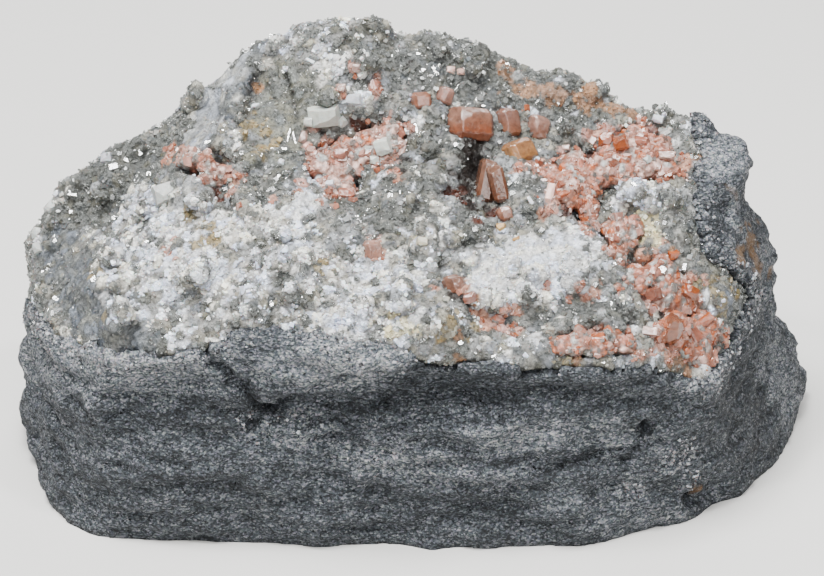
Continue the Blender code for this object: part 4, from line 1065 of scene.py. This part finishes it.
def singleCrystal(nodeName):
    # the CAD crystal with more faces cut on it and its edges rounded
    above, below, lamp, flashDepth = singles["tones"][nodeName]
    luck = random.Random(nodeName)
    bm = cadCopy(nodeName)
    bmesh.ops.dissolve_limit(bm, angle_limit=math.radians(singles["flatTurn"]), verts=bm.verts,
                              edges=bm.edges)
    middle = sum((v.co for v in bm.verts), Vector()) / len(bm.verts)
    ways = [(flashWay(middle, lamp), flashDepth)]
    for _ in range(singles["cuts"]):
        way = Vector((luck.gauss(0, 1), luck.gauss(-0.6, 1), luck.gauss(0.5, 1))).normalized()
        ways.append((way, luck.uniform(*singles["cutDepth"])))
    for way, depth in ways:
        cutFace(bm, way, depth, middle)
    bmesh.ops.dissolve_degenerate(bm, dist=0.1, edges=bm.edges)
    sharpTurn = math.radians(singles["sharpTurn"])
    sharp = [e for e in bm.edges if len(e.link_faces) == 2 and e.calc_face_angle() > sharpTurn]
    bmesh.ops.bevel(bm, geom=sharp, offset=singles["edge"], affect="EDGES", segments=2, profile=0.5,
                    material=-1, clamp_overlap=True)
    for _ in range(2):
        bmesh.ops.dissolve_degenerate(bm, dist=0.005, edges=bm.edges)
        bmesh.ops.triangulate(bm, faces=bm.faces)
    bmesh.ops.subdivide_edges(bm, edges=bm.edges, cuts=1, use_grid_fill=True)
    bmesh.ops.triangulate(bm, faces=bm.faces)
    bmesh.ops.recalc_face_normals(bm, faces=bm.faces)
    mesh = meshOf(bm, nodeName)
    co = places(mesh)
    _, w = spotOf(co)
    rise = (w - w.min()) / (w.max() - w.min())
    upper = np.clip((rise - 0.25) * 2.2 + 0.5 * wander(co, 1.0, 33), 0, 1)[:, None]
    vary = 1 + 0.3 * wander(co, 0.8, 31)[:, None]
    paint(mesh, "tint", (linear(above) * upper + linear(below) * (1 - upper)) * vary)
    finishPiece(nodeName + "_crystal", mesh, monazite, [nodeName])


def groupSkin(nodeName):
    # the grains that a group's crystals grow out of, and their area
    weights, clearShare = groups["tones"][nodeName]
    pinks = np.array(weights) / sum(weights)
    skin = voxelSkin(cadCopy(nodeName), groups["voxel"], 2)
    co, across = places(skin), outward(skin)
    middles, rims = grainCells(co, groups["grainMm"], groups["seed"])
    domes = domed(rims) - groups["grainMiddle"]
    lift = groups["fatten"] + groups["stands"] * domes * (0.4 + luckOf(middles, 3))
    setPlaces(skin, co + across * lift[:, None])
    luck = luckOf(middles, 5)[:, None]
    isPale, isOrange = luck < pinks[1], luck > 1 - pinks[2]
    tone = np.where(isPale, crystalTones["palePink"], crystalTones["salmon"])
    tone = np.where(isOrange, crystalTones["orange"], tone) * 0.9
    isClear = (luckOf(middles, 8) < clearShare)[:, None]
    tone = np.where(isClear, crystalTones["glass"] * 0.6, tone)
    # painted shade: the crevices between grains are painted with the darker gap tone
    creviceShadeShare = (1 - np.clip(rims * 3.0, 0, 1))[:, None]
    paint(skin, "tint", tone * (1 - creviceShadeShare) + linear(grainKinds["pink"]["gap"]) * creviceShadeShare)
    return skin, sum(p.area for p in skin.polygons)


def growOnGroup(nodeName, rng):
    # crystals on a group's grains, most of them monazite
    weights, clearShare = groups["tones"][nodeName]
    skin, area = groupSkins[nodeName]
    smallest, largest = groups["sizeMm"]
    points, ways = openSpots(skin, int(area * groups["perMm2"]), rng, clearance=0.6)
    for point, way in zip(points, ways):
        size = (smallest + (largest - smallest) * rng.random() ** 1.6) * rng.uniform(0.75, 1.2, 3)
        turn = standing(way, groups["tilt"], rng)
        place = point - way * size.mean() * groups["sunk"]
        if rng.random() < clearShare:
            lot, shape, tone = "adulariaCrystals", "block", crystalTones["glass"] * rng.uniform(0.8, 1.1)
        else:
            lot, shape = "monaziteGrains", "gem" if rng.random() < groups["gems"] else "tablet"
            if rng.random() < groups["flashes"]:
                flash = flashWay(Vector(point), "glintLeft")
                shape, turn = "plate", standing(flash, cover["flashTilt"], rng)
            tone = monaziteTone(rng, weights) * rng.uniform(0.75, 1.2)
        lots[lot].append((shape, place, turn, size, tone))


print("monazite")
groupSkins = {nodeName: groupSkin(nodeName) for nodeName in groups["tones"]}
placeShowCrystals()
for nodeName in singles["tones"]:
    singleCrystal(nodeName)
groupLuck = np.random.default_rng(groups["seed"])
for nodeName in groups["tones"]:
    growOnGroup(nodeName, groupLuck)
for nodeName, (skin, _) in groupSkins.items():
    finishPiece(nodeName + "_grains", skin, monaziteMass, [nodeName], smooth=True)
for lot, (stone, slotName) in lotStones.items():
    joinCrystals(lot, lots[lot], stone)
finishPiece("schistBlock", blockSkin, schist, ["schist_matrix"], smooth=True)
finishPiece("crustBed", crustSkin, crustStone, ["crystal_crust"], smooth=True)

print("stage")


def link(name, data):
    obj = bpy.data.objects.new(name, data)
    bpy.context.scene.collection.objects.link(obj)
    return obj


bm = bmesh.new()
bmesh.ops.create_grid(bm, x_segments=1, y_segments=1, size=3.0)
floorMesh = meshOf(bm, "floor")
floorPaper, floorShader = newMaterial("matPaper", Roughness=0.85)
floorShader.inputs["Base Color"].default_value = rgba(studio["floor"])
floorMesh.materials.append(floorPaper)
link("floor", floorMesh)

middle = Vector(view["target"]) * mm
for lampName, (place, size, power) in studio["lamps"].items():
    lampData = bpy.data.lights.new(lampName, "AREA")
    lampData.size = size
    lampData.energy = power
    lamp = link(lampName, lampData)
    lamp.location = place
    lamp.rotation_euler = (middle - Vector(place)).to_track_quat("-Z", "Y").to_euler()

world = bpy.data.worlds.new("studioAir")
bpy.context.scene.world = world
world.use_nodes = True
background = world.node_tree.nodes["Background"]
background.inputs["Color"].default_value = rgba(studio["sky"][0])
background.inputs["Strength"].default_value = studio["sky"][1]

cameraData = bpy.data.cameras.new("photoCamera")
cameraData.sensor_width = view["sensor"]
cameraData.lens = view["sensor"] * view["distance"] / view["width"]
cameraData.clip_start = 0.02
camera = link("photoCamera", cameraData)
camera.location = eye * mm
camera.rotation_euler = lookDir.to_track_quat("-Z", "Y").to_euler()
bpy.context.scene.camera = camera
